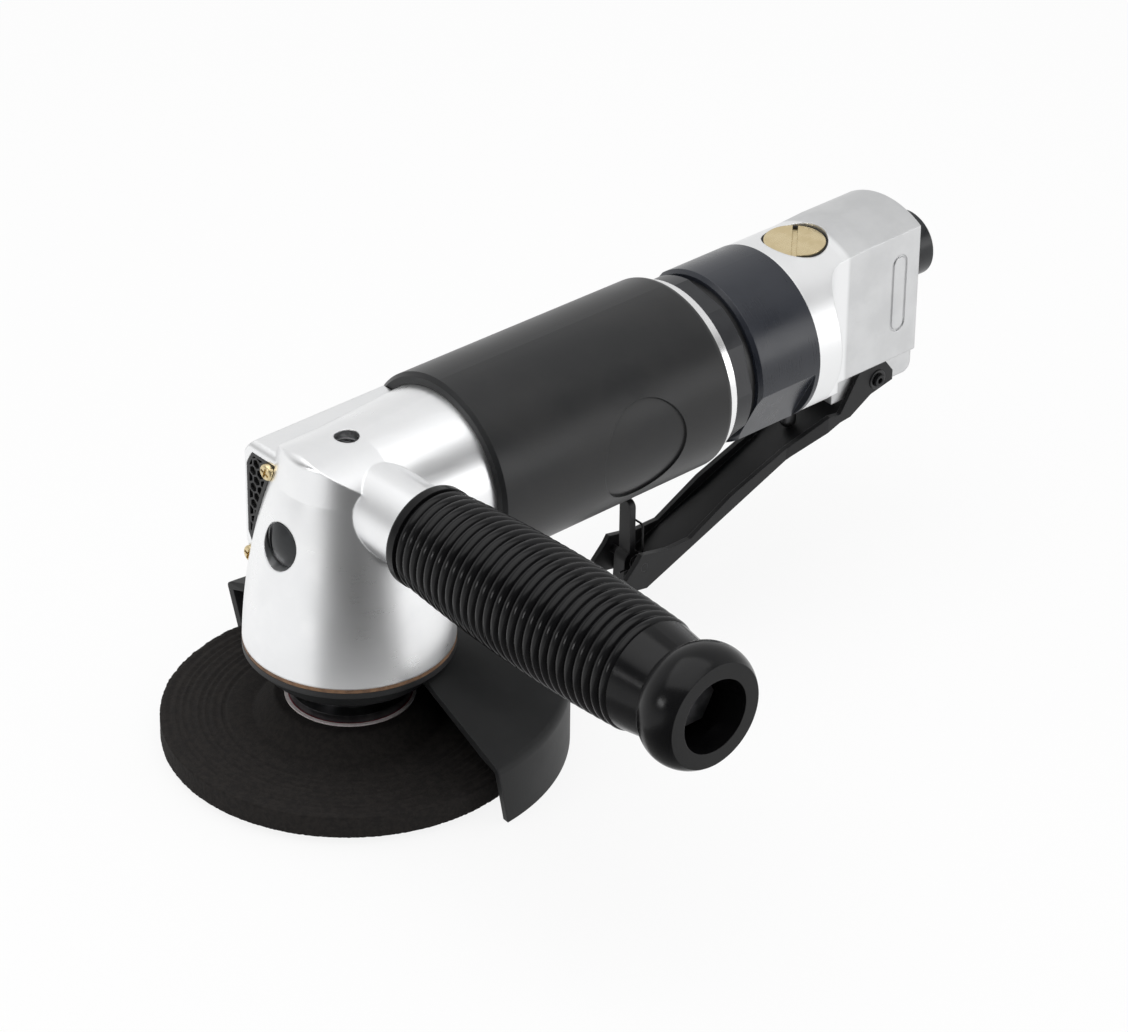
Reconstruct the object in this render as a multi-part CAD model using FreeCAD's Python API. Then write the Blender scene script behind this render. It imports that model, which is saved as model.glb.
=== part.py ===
import FreeCAD, Part
import math
import os

# A pneumatic angle grinder for 100 mm wheels. Millimetres, +Z up along the spindle, +X to the tail.
# The origin is the centre of the spindle's end face. The side handle points along -Y.

os.makedirs("parts", exist_ok=True)
V = FreeCAD.Vector
overrun = 20.0                  # how far a cutting tool reaches past what it cuts
running_fit = 0.05              # radial clearance of a shaft in its hole
seat_fit = 0.1                  # radial clearance of parts that sit in each other
air_gap = 0.3                   # gap between a moving face and its neighbour
quarter_turn = 90.0
full_turn = 360.0

# grinding disc and its clamping
disc_radius = 50.4
disc_thickness = 6.4
disc_face_drop = 1.4            # the grinding face hangs below the spindle's end
disc_hub_rise = 5.6
disc_hub_radius = 20.0
disc_cone_radius = 25.5
disc_bore = 8.0
groove_count = 8
groove_first = 33.4
groove_pitch = 2.04
groove_depth = 0.5
groove_half = 0.6
label_radius = 17.4
label_thickness = 0.4
flange_radius = 16.2
flange_plate = 2.2
flange_height = 8.2
flange_hub = 12.3
flange_flats = 21.0
flange_pilot_depth = 5.0
nut_radius = 15.0
nut_height = 4.5
nut_collar = 1.4
nut_pin_hole = 1.6
nut_pin_circle = 11.0
thread_m10 = 5.0
thread_lead = 0.6
flange_angle = -61.0

# spindle and its bearings
spindle_radius = 6.0
spindle_top_radius = 4.0
spindle_head_gap = 0.6
spindle_shoulder = 7.5
spindle_neck = 9.7              # thin part of the spindle below its bush
spindle_bearing_width = 10.0
spindle_bearing_outer = 16.0
bearing_floor = 2.0
circlip_thickness = 1.1
circlip_grip = 1.0
circlip_width = 2.0
race_fit = 0.02
race_wall_share = 0.31
race_groove_share = 0.27
cage_share = 0.45
gear_ring_radius = 7.4
gear_ring_thickness = 1.0
gear_ring_groove = 0.5
bush_outer = 6.0
bush_length = 7.6
bush_proud = 0.2
felt_height = 3.5
felt_lip = 8.0
felt_lip_height = 1.5
bearing_relief = 12.6

# angle head
motor_height = 65.8             # the motor's axis above the spindle's end
bell_rim_height = 29.3
bell_rim_radius = 28.1
bell_side_radius = 25.15
bell_side_drop = 10.8           # below the motor's axis
bell_shoulder_radius = 18.95
bell_shoulder_rise = 12.2
bell_crown_radius = 16.8
bell_round = 2.5
bell_bore = 23.5
gear_room_radius = 18.2
gear_room_drop = 7.4            # its roof below the motor's axis
gear_crown_radius = 14.4
gear_crown_drop = 5.0
spigot_room_gap = 1.6
nose_radius = 22.8              # rounded back of the head over the spindle
nose_length = 3.0
head_rear_radius = 24.4
head_length = 34.0
spindle_room_radius = 9.0
top_hole_radius = 3.35
top_hole_depth = 8.0
top_hole_floor = 1.3
pinion_room_radius = 12.2
pinion_room_start = 7.0
bearing_room_radius = 15.6
bearing_room_start = 22.0
boss_rise = 8.35                # the side handle's axis above the motor's
boss_root_radius = 11.3
boss_tip_radius = 11.6
boss_length = 31.7
boss_root = 8.0
handle_hole_depth = 14.5
handle_thread = 4.0

# exhaust duct on the far side of the head
duct_front = 15.0
duct_side = 24.8
duct_radius = 27.0
duct_round = 2.2
duct_length = 29.4
duct_up = 17.1
duct_down = 24.0
duct_root = 6.0
passage_far = 21.8
passage_up = 14.7
passage_down = 19.0
duct_inner = 9.5
passage_inner = 17.2
passage_outer = 22.4
plenum_depth = 4.3
gear_room_wall = 1.3
grille_inner = 10.6
grille_outer = 22.6
grille_up = 14.5
grille_down = 22.4
grille_radius = 24.8
screw_post = 2.5
grille_thickness = 1.2
grille_cell = 1.35
grille_web = 0.55
grille_edge = 1.0
grille_screw_head = 2.3
grille_screw_height = 1.6
grille_screw_core = 1.2
grille_screw_length = 5.0
upper_screw = (13.2, 11.9)      # along Y, and above the motor's axis
lower_screw = (20.9, -16.4)
screw_slot_width = 0.7
screw_slot_depth = 0.8
screw_slot_angle = 20.0
pad_thickness = 2.6
pad_gap = 0.4

# front plug
plug_drop = 1.4                 # below the motor's axis
plug_head_radius = 6.0
plug_recess_radius = 6.3
plug_recess_x = 20.4
plug_shank_radius = 5.0
plug_shank_length = 6.6
plug_head_height = 1.1
plug_dome = 1.6
plug_slot_width = 1.5
plug_slot_depth = 1.5
plug_slot_offset = 3.4
plug_slot_tilt = -5.2

# bearing cap, gasket and guard
gasket_thickness = 1.1
cap_flange_thickness = 1.7
cap_flange_radius = 28.2
cap_spigot_length = 13.2
cap_boss_radius = 20.5
cap_boss_depth = 6.0
cap_bore = 9.5
cap_screw_count = 4
cap_screw_circle = 25.6
cap_screw_core = 1.4
cap_screw_head = 2.5
cap_screw_length = 7.5
cap_screw_angle = 45.0
guard_clearance = 7.6           # from the wheel's rim to the outside of the guard
guard_top = 14.5
guard_bottom = -3.4
guard_plate = 2.0
guard_collar_radius = 23.2
guard_collar_height = 4.9
guard_edge_x = 1.6
guard_edge_lean = 4.7
guard_far_shift = 2.5           # the far edge reaches further to the tail
guard_end_lean = 11.0
guard_round = 2.5
guard_split = 2.4
guard_ear_length = 6.0
guard_ear_width = 5.0
guard_ear_angle = -75.0
guard_screw_radius = 1.5
guard_screw_head = 2.7

# bevel gears, meshing at the crossing of the two axes
pinion_teeth = 15
gear_teeth = 24
gear_pitch_radius = 16.0
gear_face = 6.0
addendum = 1.15
dedendum = 1.45
tooth_share = 0.42              # of the pitch, at the pitch circle
tip_share = 0.24
root_share = 0.52
tooth_sink = 0.4
gear_hub_radius = 10.0
gear_web_drop = 2.0
pinion_hub_radius = 7.6
pinion_neck = 0.8
pinion_end = 36.0
key_width = 3.0
key_height = 2.4
key_share = 0.43                # of the shaft between the bearing and the gear

# air motor, placed along X from the head
front_bearing_start = 38.0
front_bearing_outer = 13.0
front_bearing_width = 8.0
plate_thickness = 5.0
plate_radius = 20.6
plate_hub_radius = 15.5
rear_hub_radius = 12.7
liner_length = 46.0
liner_radius = 20.6
liner_bore = 16.5
liner_offset = 1.6
rotor_radius = 14.6
rotor_end_gap = 0.3
rotor_tip_radius = 4.0
rotor_front_radius = 5.0
rotor_rear_radius = 4.0
rotor_front_end = 12.0
rotor_tail = 2.0
rotor_shoulder = 6.5
vane_count = 4
vane_thickness = 1.6
vane_depth = 8.0
vane_proud = 0.15
vane_fit = 0.06
rear_bearing_outer = 11.0
rear_bearing_width = 7.0
port_count = 3
port_width = 4.0
port_pitch = 9.0
port_margin = 11.0
port_height = 16.0
inlet_port_radius = 2.0
inlet_port_circle = 15.0
inlet_port_angles = (200.0, 220.0, 240.0)

# motor housing, sleeve and rings
housing_radius = 24.4
housing_bore = 20.7
housing_channel = 22.8
housing_channel_width = 20.0
housing_channel_margin = 5.0
silver_ring_radius = 25.3
silver_ring_length = 2.4
housing_tail_length = 14.5
housing_tail_radius = 22.0
sleeve_front = 29.8
sleeve_tail = 2.0               # beyond the rear bearing
sleeve_front_radius = 27.6
sleeve_rear_radius = 27.2
sleeve_bore = 24.5
sleeve_lip = 1.0
sleeve_round = 2.2
badge_setback = 32.0
badge_radius = 14.4
badge_depth = 0.5
badge_angle = 1.5
lock_ring_radius = 24.3
lock_ring_length = 6.4
lock_ring_flat = 23.3
ring_flats = 6
ring_flat_angle = 12.0
rear_gasket_radius = 22.7
rear_gasket_thickness = 2.6
collar_radius = 24.9
collar_length = 22.1
collar_chamfer = 1.0
collar_flat = 23.0
collar_lip = 1.5
collar_flat_angle = 27.5

# valve housing
valve_body_radius = 24.7
valve_room_bore = 17.5
valve_room_margin = 4.5
valve_body_length = 18.5
block_length = 30.5
block_radius = 25.2
block_half = 13.5
block_under = 17.5
block_run_out = 10.0
block_round = 1.5
lug_half = 8.3
lug_setback = 3.0
lug_overhang = 3.0
lug_drop = 28.0
lug_round = 3.0
frame_setback = 8.3
frame_width = 5.6
frame_height = 24.0
frame_rise = 2.8
frame_rim = 0.7
frame_depth = 0.4
valve_setback = 5.6
valve_plug_radius = 8.55
valve_plug_rise = 23.7
valve_plug_head = 5.6
valve_plug_core = 4.4
valve_seal_radius = 9.1
valve_seal_height = 1.1
valve_seal_depth = 0.6
valve_slot_width = 1.5
valve_slot_depth = 1.1
valve_slot_angle = 45.0
valve_room_radius = 7.2
valve_room_drop = 7.8
seat_height = 5.0
seat_hole = 4.2
stem_radius = 2.4
stem_guide = 2.44
stem_drop = 35.4
stem_head_radius = 5.6
stem_head_height = 3.2
stem_pilot_radius = 2.2
stem_pilot_height = 4.0
lower_room_radius = 6.4
lower_room_drop = 15.8
air_way_radius = 3.9
spring_radius = 4.6
spring_wire = 0.4
spring_turns = 5
inlet_rise = 7.4
inlet_radius = 9.5
inlet_length = 10.0
inlet_neck_radius = 8.0
inlet_neck = 10.0
inlet_thread_radius = 5.7
inlet_thread_length = 12.0
inlet_way = 4.0
inlet_chamfer = 0.8
screen_thickness = 0.8
screen_radius = 5.2
screen_hole = 0.6
screen_pitch = 1.8

# lever, catch and their pins
pivot_setback = 11.6            # ahead of the rear face
pivot_drop = 25.0
pin_radius = 1.6
pin_bore = 0.9
pin_proud = 1.3                 # of each ear of the lever
ear_out = 10.1
sheet = 1.5
channel_half = 7.4
catch_run = 84.2                # ahead of the lever's pivot
catch_drop = 28.9
catch_pin_radius = 1.2
web_front = (-83.3, -35.95)     # under side of the lever's web, X and Z from the pivot
web_bend = (-29.9, -14.4)
web_rear = (-13.9, -8.8)
web_end = (-8.5, -6.9)          # between the ears
jog_start = -31.9               # along X from the pivot
jog_end = -18.4
jog_top = (-17.9, -5.6)
flange_low = (-89.6, -34.8)
flange_nose = (-90.9, -30.8)
flange_rise = (-86.8, -26.6)
flange_front_top = (-85.4, -24.6)
flange_mid_front = (-75.4, -26.6)
flange_mid_start = (-67.4, -26.6)
flange_mid = (-52.1, -18.7)
flange_bend_top = (-31.4, -11.4)
ear_front_top = (-6.9, 4.6)
ear_front = (-10.3, -0.8)
ear_root = (-13.9, -6.2)
ear_top = (0.0, 6.2)
ear_back_top = (1.9, 6.2)
ear_back = (6.0, 0.8)
ear_back_low = (6.0, -2.2)
ear_low = (-2.3, -4.0)
ear_low_front = (-10.0, -8.4)
catch_half = 2.2
catch_thickness = 2.0
catch_reach = 18.5              # the tongue above its pin
catch_hub = 2.8
catch_foot_tip = (-2.2, -10.0)   # from the catch's pin
catch_foot_back = (-0.8, -8.9)
catch_spring_radius = 1.9
catch_spring_wire = 0.3
catch_spring_gap = 0.5
catch_spring_turns = 1.25
catch_spring_bend = 1.2
catch_spring_pitch = 0.9
catch_spring_tail = 5.0
catch_spring_arm = 8.0

# side handle
grip_flange_radius = 14.0
grip_flange_length = 3.2
grip_flange_round = 1.2
rib_count = 27
rib_margin = 4.9
rib_span = 78.2
rib_first_radius = 13.8
rib_middle_radius = 16.05
rib_last_radius = 15.3
rib_depth = 1.0
grip_smooth_radius = 14.75
grip_neck_run = 10.8            # from the last rib
grip_neck_radius = 13.4
grip_bulb_radius = 16.35
grip_bulb_run = 9.0             # from the neck to the widest place
grip_end_run = 13.6
grip_face_radius = 14.2
grip_bore = 10.05
grip_base = 14.0
bolt_hole_fit = 0.2
bolt_head_radius = 6.5
bolt_head_height = 5.4
bolt_length = 107.0


def save(name, shape):
    shape.exportStep("parts/" + name + ".step")


def tube(start, axis, length, outer, inner=0):
    body = Part.makeCylinder(outer, length, start, axis)
    if inner:
        body = body.cut(Part.makeCylinder(inner, length, start, axis))
    return body


def along_x(x0, x1, outer, inner=0, z=motor_height, y=0):
    return tube(V(x0, y, z), V(1, 0, 0), x1 - x0, outer, inner)


def along_y(y0, y1, outer, inner=0, x=0, z=0):
    return tube(V(x, y0, z), V(0, 1, 0), y1 - y0, outer, inner)


def along_z(z0, z1, outer, inner=0, x=0, y=0):
    return tube(V(x, y, z0), V(0, 0, 1), z1 - z0, outer, inner)


def block(x0, x1, y0, y1, z0, z1):
    return Part.makeBox(x1 - x0, y1 - y0, z1 - z0, V(x0, y0, z0))


def outline(points, place):
    """Closed wire. A point of two numbers ends a line; one of four is an arc's middle and end."""
    last = place(*points[0][-2:])
    edges = []
    for point in points[1:] + [points[0][-2:]]:
        end = place(*point[-2:])
        if len(point) > 2:
            edges.append(Part.Arc(last, place(*point[:2]), end).toShape())
        elif (end - last).Length > 0:
            edges.append(Part.LineSegment(last, end).toShape())
        last = end
    return Part.Wire(edges)


def corner(before, at, after, radius):
    """The two outline points that round a corner: the end of a line, then an arc."""
    to_before = V(before[0] - at[0], before[1] - at[1], 0).normalize()
    to_after = V(after[0] - at[0], after[1] - at[1], 0).normalize()
    half = to_before.getAngle(to_after) / 2
    run = radius / math.tan(half)
    reach = radius / math.sin(half) - radius
    middle = (to_before + to_after).normalize() * reach
    start = to_before * run
    end = to_after * run
    spots = [V(at[0], at[1], 0) + step for step in (start, middle, end)]
    return [(spots[0].x, spots[0].y), (spots[1].x, spots[1].y, spots[2].x, spots[2].y)]


def turned_x(points, z=motor_height):
    """Solid of revolution about the motor's axis, from (x, radius) points."""
    face = Part.Face(outline(points, lambda x, r: V(x, 0, z + r)))
    return face.revolve(V(0, 0, z), V(1, 0, 0), full_turn)


def turned_y(points, x=0, z=0):
    """Solid of revolution about a line along Y, from (y, radius) points."""
    face = Part.Face(outline(points, lambda y, r: V(x, y, z + r)))
    return face.revolve(V(x, 0, z), V(0, 1, 0), full_turn)


def turned_z(points, x=0, y=0):
    """Solid of revolution about a line along Z, from (radius, z) points."""
    face = Part.Face(outline(points, lambda r, z: V(x + r, y, z)))
    return face.revolve(V(x, y, 0), V(0, 0, 1), full_turn)


def prism_y(points, y0, y1):
    """Outline of (x, z) points, extruded along Y."""
    face = Part.Face(outline(points, lambda x, z: V(x, y0, z)))
    return face.extrude(V(0, y1 - y0, 0))


def prism_z(points, z0, z1):
    """Outline of (x, y) points, extruded along Z."""
    face = Part.Face(outline(points, lambda x, y: V(x, y, z0)))
    return face.extrude(V(0, 0, z1 - z0))


def prism_x(points, x0, x1):
    """Outline of (y, z) points, extruded along X."""
    face = Part.Face(outline(points, lambda y, z: V(x0, y, z)))
    return face.extrude(V(x1 - x0, 0, 0))


def polygon(sides, radius, turn=0, u=0, v=0):
    step = full_turn / sides
    angles = [math.radians(turn + step * i) for i in range(sides)]
    return [(u + radius * math.cos(a), v + radius * math.sin(a)) for a in angles]


def turned(shape, centre, axis, angle):
    copy = shape.copy()
    copy.rotate(centre, axis, angle)
    return copy


def ring_of(shape, centre, axis, count, start=0):
    step = full_turn / count
    return [turned(shape, centre, axis, start + step * i) for i in range(count)]


def group(shapes):
    return Part.makeCompound(shapes)


def fused(shapes):
    return shapes[0].multiFuse(shapes[1:]).removeSplitter()


def ball_bearing(name, place, axis, bore, outer, width, balls):
    """Two grooved races and a caged ring of balls, from the end at place along axis."""
    depth = outer - bore
    wall = depth * race_wall_share
    pitch_radius = (outer + bore) / 2
    groove = depth * race_groove_share
    middle = place + axis * (width / 2)
    track = Part.makeTorus(pitch_radius, groove, middle, axis)
    save(name + "_outer_race", tube(place, axis, width, outer - race_fit, outer - wall).cut(track))
    save(name + "_inner_race", tube(place, axis, width, bore + wall, bore + race_fit).cut(track))
    ball = groove - air_gap / 2
    ball_pitch = pitch_radius + air_gap / 2
    side = axis.cross(axis_y)
    half_cage = ball * cage_share
    cage_start = middle - axis * half_cage
    cage = tube(cage_start, axis, half_cage * 2, pitch_radius + air_gap * 2, pitch_radius - air_gap)
    first = Part.makeSphere(ball, middle + side * ball_pitch)
    save(name + "_balls", cage.multiFuse(ring_of(first, middle, axis, balls)))


def tooth_ring(count, pitch_radius, mate_radius):
    """Teeth of a bevel gear with its apex at the origin and its axis along +Z."""
    cone_length = math.hypot(pitch_radius, mate_radius)
    along = V(pitch_radius / cone_length, 0, mate_radius / cone_length)
    outward = V(mate_radius / cone_length, 0, -pitch_radius / cone_length)
    inner_share = (cone_length - gear_face) / cone_length
    pitch = 2 * math.pi * pitch_radius / count
    levels = [(-dedendum - tooth_sink, root_share), (0, tooth_share), (addendum, tip_share)]
    big = []
    for side, order in ((1, levels), (-1, levels[::-1])):
        for height, width_share in order:
            big.append(along * cone_length + outward * height + axis_y * (side * width_share * pitch / 2))
    small = [spot * inner_share for spot in big]
    loops = [big, small]
    for i in range(len(big)):
        loops.append([big[i - 1], big[i], small[i], small[i - 1]])
    faces = [Part.Face(Part.makePolygon(loop + loop[:1])) for loop in loops]
    tooth = Part.Solid(Part.Shell(faces))
    if tooth.Volume < 0:
        tooth.reverse()
    return ring_of(tooth, origin, axis_z, count)


def root_ends(pitch_radius, mate_radius):
    """(radius, height) of the root cone's outer and inner ends, from the apex."""
    cone_length = math.hypot(pitch_radius, mate_radius)
    radius = pitch_radius - dedendum * mate_radius / cone_length
    height = mate_radius + dedendum * pitch_radius / cone_length
    share = (cone_length - gear_face) / cone_length
    return (radius, height), (radius * share, height * share)


def screw_slot(centre, width, depth, length, axis, turn):
    """Screwdriver slot cut down along -Z from its centre, then turned about the axis."""
    bar = Part.makeBox(width, length, depth + overrun, centre - V(width / 2, length / 2, depth))
    return turned(bar, centre, axis, turn)


def biarc(start, start_way, end, end_way):
    """Two arcs that leave start and reach end along the given unit directions."""
    chord = end - start
    ways = start_way + end_way
    rest = 2 * (1 - start_way.dot(end_way))
    across = chord.dot(ways)
    reach = (-across + math.sqrt(across * across + rest * chord.dot(chord))) / rest
    first = start + start_way * reach
    last = end - end_way * reach
    middle = (first + last) / 2
    edges = []
    for a, apex, b in ((start, first, middle), (middle, last, end)):
        mean = (a + b) / 2
        half = (b - a).Length / 2
        rise = half * math.tan(math.acos(min(1, half / reach)) / 2)
        edges.append(Part.Arc(a, mean + (apex - mean).normalize() * rise, b).toShape())
    return edges


def coil_edges(centre, axis, radius, pitch, turns, start_angle=0):
    """Helix about an axis as biarcs of a quarter turn. Also its points and directions."""
    u = axis.cross(V(axis.y, axis.z, axis.x)).normalize()
    v = axis.cross(u)
    quarters = int(turns * full_turn / quarter_turn)
    spots = []
    for i in range(quarters + 1):
        a = math.radians(start_angle + quarter_turn * i)
        rise = axis * (pitch * i * quarter_turn / full_turn)
        spot = centre + (u * math.cos(a) + v * math.sin(a)) * radius + rise
        way = (v * math.cos(a) - u * math.sin(a)) * (2 * math.pi * radius) + axis * pitch
        spots.append((spot, way.normalize()))
    edges = []
    for one, two in zip(spots, spots[1:]):
        edges += biarc(one[0], one[1], two[0], two[1])
    return edges, spots


def wire_tube(edges, start, way, radius):
    """Round wire swept along joined edges, as one tube."""
    profile = Part.Wire([Part.makeCircle(radius, start, way)])
    return Part.Wire(edges).makePipeShell([profile], True, False)


# heights and places that follow from the driving sizes
disc_face = -disc_face_drop
disc_top = disc_face + disc_thickness
hub_top = disc_top + disc_hub_rise
hub_bottom = hub_top - disc_thickness
label_top = hub_top + label_thickness
flange_top = label_top + flange_height
gasket_bottom = bell_rim_height - gasket_thickness
cap_spigot_top = gasket_bottom + cap_spigot_length
spigot_room_height = cap_spigot_top + spigot_room_gap
cap_bottom = gasket_bottom - cap_flange_thickness
cap_boss_bottom = cap_bottom - cap_boss_depth
bearing_bottom = cap_bottom + bearing_floor
bearing_top = bearing_bottom + spindle_bearing_width
head_top = motor_height + nose_radius
bush_top = head_top - top_hole_depth - top_hole_floor
bush_bottom = bush_top - bush_length
spindle_top = bush_top - spindle_head_gap
spindle_step = bush_bottom - spindle_neck
spindle_room_roof = bush_bottom + bush_proud
gear_room_height = motor_height - gear_room_drop
gear_crown_height = motor_height - gear_crown_drop
boss_height = motor_height + boss_rise
plug_height = motor_height - plug_drop
guard_radius = disc_radius + guard_clearance
bell_side_height = motor_height - bell_side_drop
bell_shoulder_height = motor_height + bell_shoulder_rise
front_plate_start = front_bearing_start + front_bearing_width
liner_start = front_plate_start + plate_thickness
liner_end = liner_start + liner_length
rear_plate_end = liner_end + plate_thickness
rear_bearing_end = rear_plate_end + rear_bearing_width
rotor_rear_end = rear_bearing_end + rotor_tail
sleeve_rear = rear_bearing_end + sleeve_tail
badge_x = sleeve_rear - badge_setback
housing_channel_end = liner_end - housing_channel_margin
housing_tail_end = sleeve_rear + housing_tail_length
silver_ring_end = sleeve_rear + silver_ring_length
lock_ring_end = silver_ring_end + lock_ring_length
collar_front = lock_ring_end + rear_gasket_thickness
collar_rear = collar_front + collar_length
valve_room_end = collar_rear - valve_room_margin
block_start = collar_rear + valve_body_length
block_rear = block_start + block_length
block_bottom = motor_height - block_under
lug_front = block_start + lug_setback
lug_rear = block_rear + lug_overhang
lug_bottom = motor_height - lug_drop
frame_x = block_rear - frame_setback
frame_centre = motor_height + frame_rise
valve_x = block_start - valve_setback
valve_plug_top = motor_height + valve_plug_rise
valve_room_bottom = motor_height - valve_room_drop
lower_room_bottom = motor_height - lower_room_drop
stem_bottom = motor_height - stem_drop
inlet_z = motor_height + inlet_rise
pivot_x = block_rear - pivot_setback
pivot_z = motor_height - pivot_drop
catch_x = pivot_x - catch_run
catch_z = pivot_z - catch_drop
catch_top = catch_z + catch_reach
rib_first = boss_length + rib_margin
rib_last = rib_first + rib_span
grip_neck = rib_last + grip_neck_run
grip_bulb_middle = grip_neck + grip_bulb_run
grip_end = grip_neck + grip_end_run
bolt_hole = handle_thread + bolt_hole_fit
origin = V(0, 0, 0)
axis_x = V(1, 0, 0)
axis_y = V(0, 1, 0)
axis_z = V(0, 0, 1)
motor_centre = V(0, 0, motor_height)
pinion_pitch_radius = gear_pitch_radius * pinion_teeth / gear_teeth
gear_top = motor_height - root_ends(gear_pitch_radius, pinion_pitch_radius)[1][1]


def grinding_disc():
    points = [(disc_radius, disc_face), (disc_radius, disc_top)]
    for i in reversed(range(groove_count)):
        radius = groove_first + groove_pitch * i
        points.append((radius + groove_half, disc_top))
        points.append((radius, disc_top - groove_depth))
        points.append((radius - groove_half, disc_top))
    points += [(disc_cone_radius, disc_top), (disc_hub_radius, hub_top), (disc_bore, hub_top)]
    points += [(disc_bore, hub_bottom), (disc_hub_radius + groove_depth, hub_bottom)]
    points += [(disc_cone_radius + groove_depth, disc_face)]
    save("grinding_disc", turned_z(points))
    save("disc_label", along_z(hub_top, label_top, label_radius, disc_bore + seat_fit))


def disc_clamping():
    hub_bottom_z = label_top + flange_plate
    plate = along_z(label_top, hub_bottom_z, flange_radius)
    hub = along_z(hub_bottom_z, flange_top, flange_hub)
    half = flange_flats / 2
    hub = hub.common(block(-half, half, -flange_hub, flange_hub, hub_bottom_z, flange_top))
    pilot = along_z(label_top - flange_pilot_depth, label_top, disc_bore - seat_fit)
    inner = fused([plate, hub, pilot])
    inner = inner.cut(along_z(disc_face, flange_top, thread_m10 + race_fit))
    save("inner_flange", turned(inner, origin, axis_z, flange_angle))
    nut_bottom = hub_bottom - nut_height
    nut = along_z(nut_bottom, hub_bottom, nut_radius)
    nut = nut.fuse(along_z(hub_bottom, hub_bottom + nut_collar - label_thickness, disc_bore - seat_fit))
    nut = nut.cut(along_z(nut_bottom, label_top, thread_m10 + race_fit))
    pin = along_z(nut_bottom, hub_bottom - nut_height / 3, nut_pin_hole, x=nut_pin_circle)
    save("flange_nut", nut.cut(group(ring_of(pin, origin, axis_z, 4))))


def spindle_group():
    ring_top = gear_top + gear_ring_thickness
    groove_radius = spindle_radius - gear_ring_groove
    points = [(0, 0), (thread_m10 - thread_lead, 0), (thread_m10, thread_lead), (thread_m10, flange_top)]
    points += [(spindle_shoulder, flange_top), (spindle_shoulder, bearing_bottom)]
    points += [(spindle_radius, bearing_bottom), (spindle_radius, gear_top), (groove_radius, gear_top)]
    points += [(groove_radius, ring_top), (spindle_radius, ring_top), (spindle_radius, spindle_step)]
    points += [(spindle_top_radius, spindle_step), (spindle_top_radius, spindle_top), (0, spindle_top)]
    key_middle = (bearing_top + gear_top) / 2
    key_half = (gear_top - bearing_top) * key_share / 2
    key_low = key_middle - key_half
    key_outside = spindle_radius + key_height / 2
    key = block(spindle_radius - key_height / 2, key_outside, -key_width / 2, key_width / 2, key_low,
                key_middle + key_half)
    key_way = block(0, spindle_radius + key_height / 2 + race_fit, -key_width / 2 - race_fit,
                    key_width / 2 + race_fit, bearing_top, gear_top)
    save("spindle", turned_z(points).cut(key))
    save("gear_key", key)
    save("gear_ring", along_z(gear_top, ring_top, gear_ring_radius, groove_radius + race_fit))
    outer, inner = root_ends(gear_pitch_radius, pinion_pitch_radius)
    back = (outer[0] - pinion_neck, outer[1] + gear_web_drop)
    web_height = back[1] + gear_web_drop
    bore = spindle_radius + race_fit
    hub_end = motor_height - bearing_top
    points = [(bore, inner[1]), inner, outer, back, (gear_hub_radius, web_height)]
    points += [(gear_hub_radius, hub_end), (bore, hub_end)]
    gear = turned_z(points).multiFuse(tooth_ring(gear_teeth, gear_pitch_radius, pinion_pitch_radius))
    half_tooth = quarter_turn * 2 / gear_teeth
    gear.rotate(origin, axis_z, half_tooth)
    gear.rotate(origin, axis_x, quarter_turn * 2)
    gear.translate(motor_centre)
    save("bevel_gear", gear.cut(key_way))


def rotor_group():
    outer, inner = root_ends(pinion_pitch_radius, gear_pitch_radius)
    bore = rotor_tip_radius + race_fit
    neck = outer[1] + pinion_neck
    points = [(bore, inner[1]), inner, outer, (pinion_hub_radius, neck), (pinion_hub_radius, pinion_end)]
    points += [(bore, pinion_end)]
    pinion = turned_z(points).multiFuse(tooth_ring(pinion_teeth, pinion_pitch_radius, gear_pitch_radius))
    pinion.rotate(origin, axis_y, quarter_turn)
    pinion.translate(motor_centre)
    save("pinion", pinion)
    core_start = liner_start + rotor_end_gap
    core_end = liner_end - rotor_end_gap
    points = [(rotor_front_end, 0), (rotor_front_end, rotor_tip_radius), (pinion_end, rotor_tip_radius)]
    points += [(pinion_end, rotor_front_radius), (front_plate_start, rotor_front_radius)]
    points += [(front_plate_start, rotor_shoulder), (core_start, rotor_shoulder)]
    points += [(core_start, rotor_radius), (core_end, rotor_radius), (core_end, rotor_shoulder)]
    points += [(rear_plate_end, rotor_shoulder), (rear_plate_end, rotor_rear_radius)]
    points += [(rotor_rear_end, rotor_rear_radius), (rotor_rear_end, 0)]
    half = vane_thickness / 2
    tip = rotor_radius + vane_proud
    vane = block(core_start, core_end, -half, half, motor_height + tip - vane_depth, motor_height + tip)
    room = block(core_start, core_end, -half - vane_fit, half + vane_fit,
                 motor_height + tip - vane_depth, motor_height + rotor_radius + overrun)
    rotor = turned_x(points).cut(group(ring_of(room, motor_centre, axis_x, vane_count)))
    save("rotor", rotor)
    save("vanes", group(ring_of(vane, motor_centre, axis_x, vane_count)))


def bell(extra=0):
    """The bulging lower part of the head, up to its top."""
    rim = (bell_rim_radius + extra, bell_rim_height)
    shoulder = (bell_shoulder_radius + extra, bell_shoulder_height)
    crown = (bell_crown_radius + extra, head_top)
    points = [(0, bell_rim_height), rim, (bell_side_radius + extra, bell_side_height, *shoulder)]
    points += corner(shoulder, crown, (0, head_top), bell_round) + [(0, head_top)]
    return turned_z(points)


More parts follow.
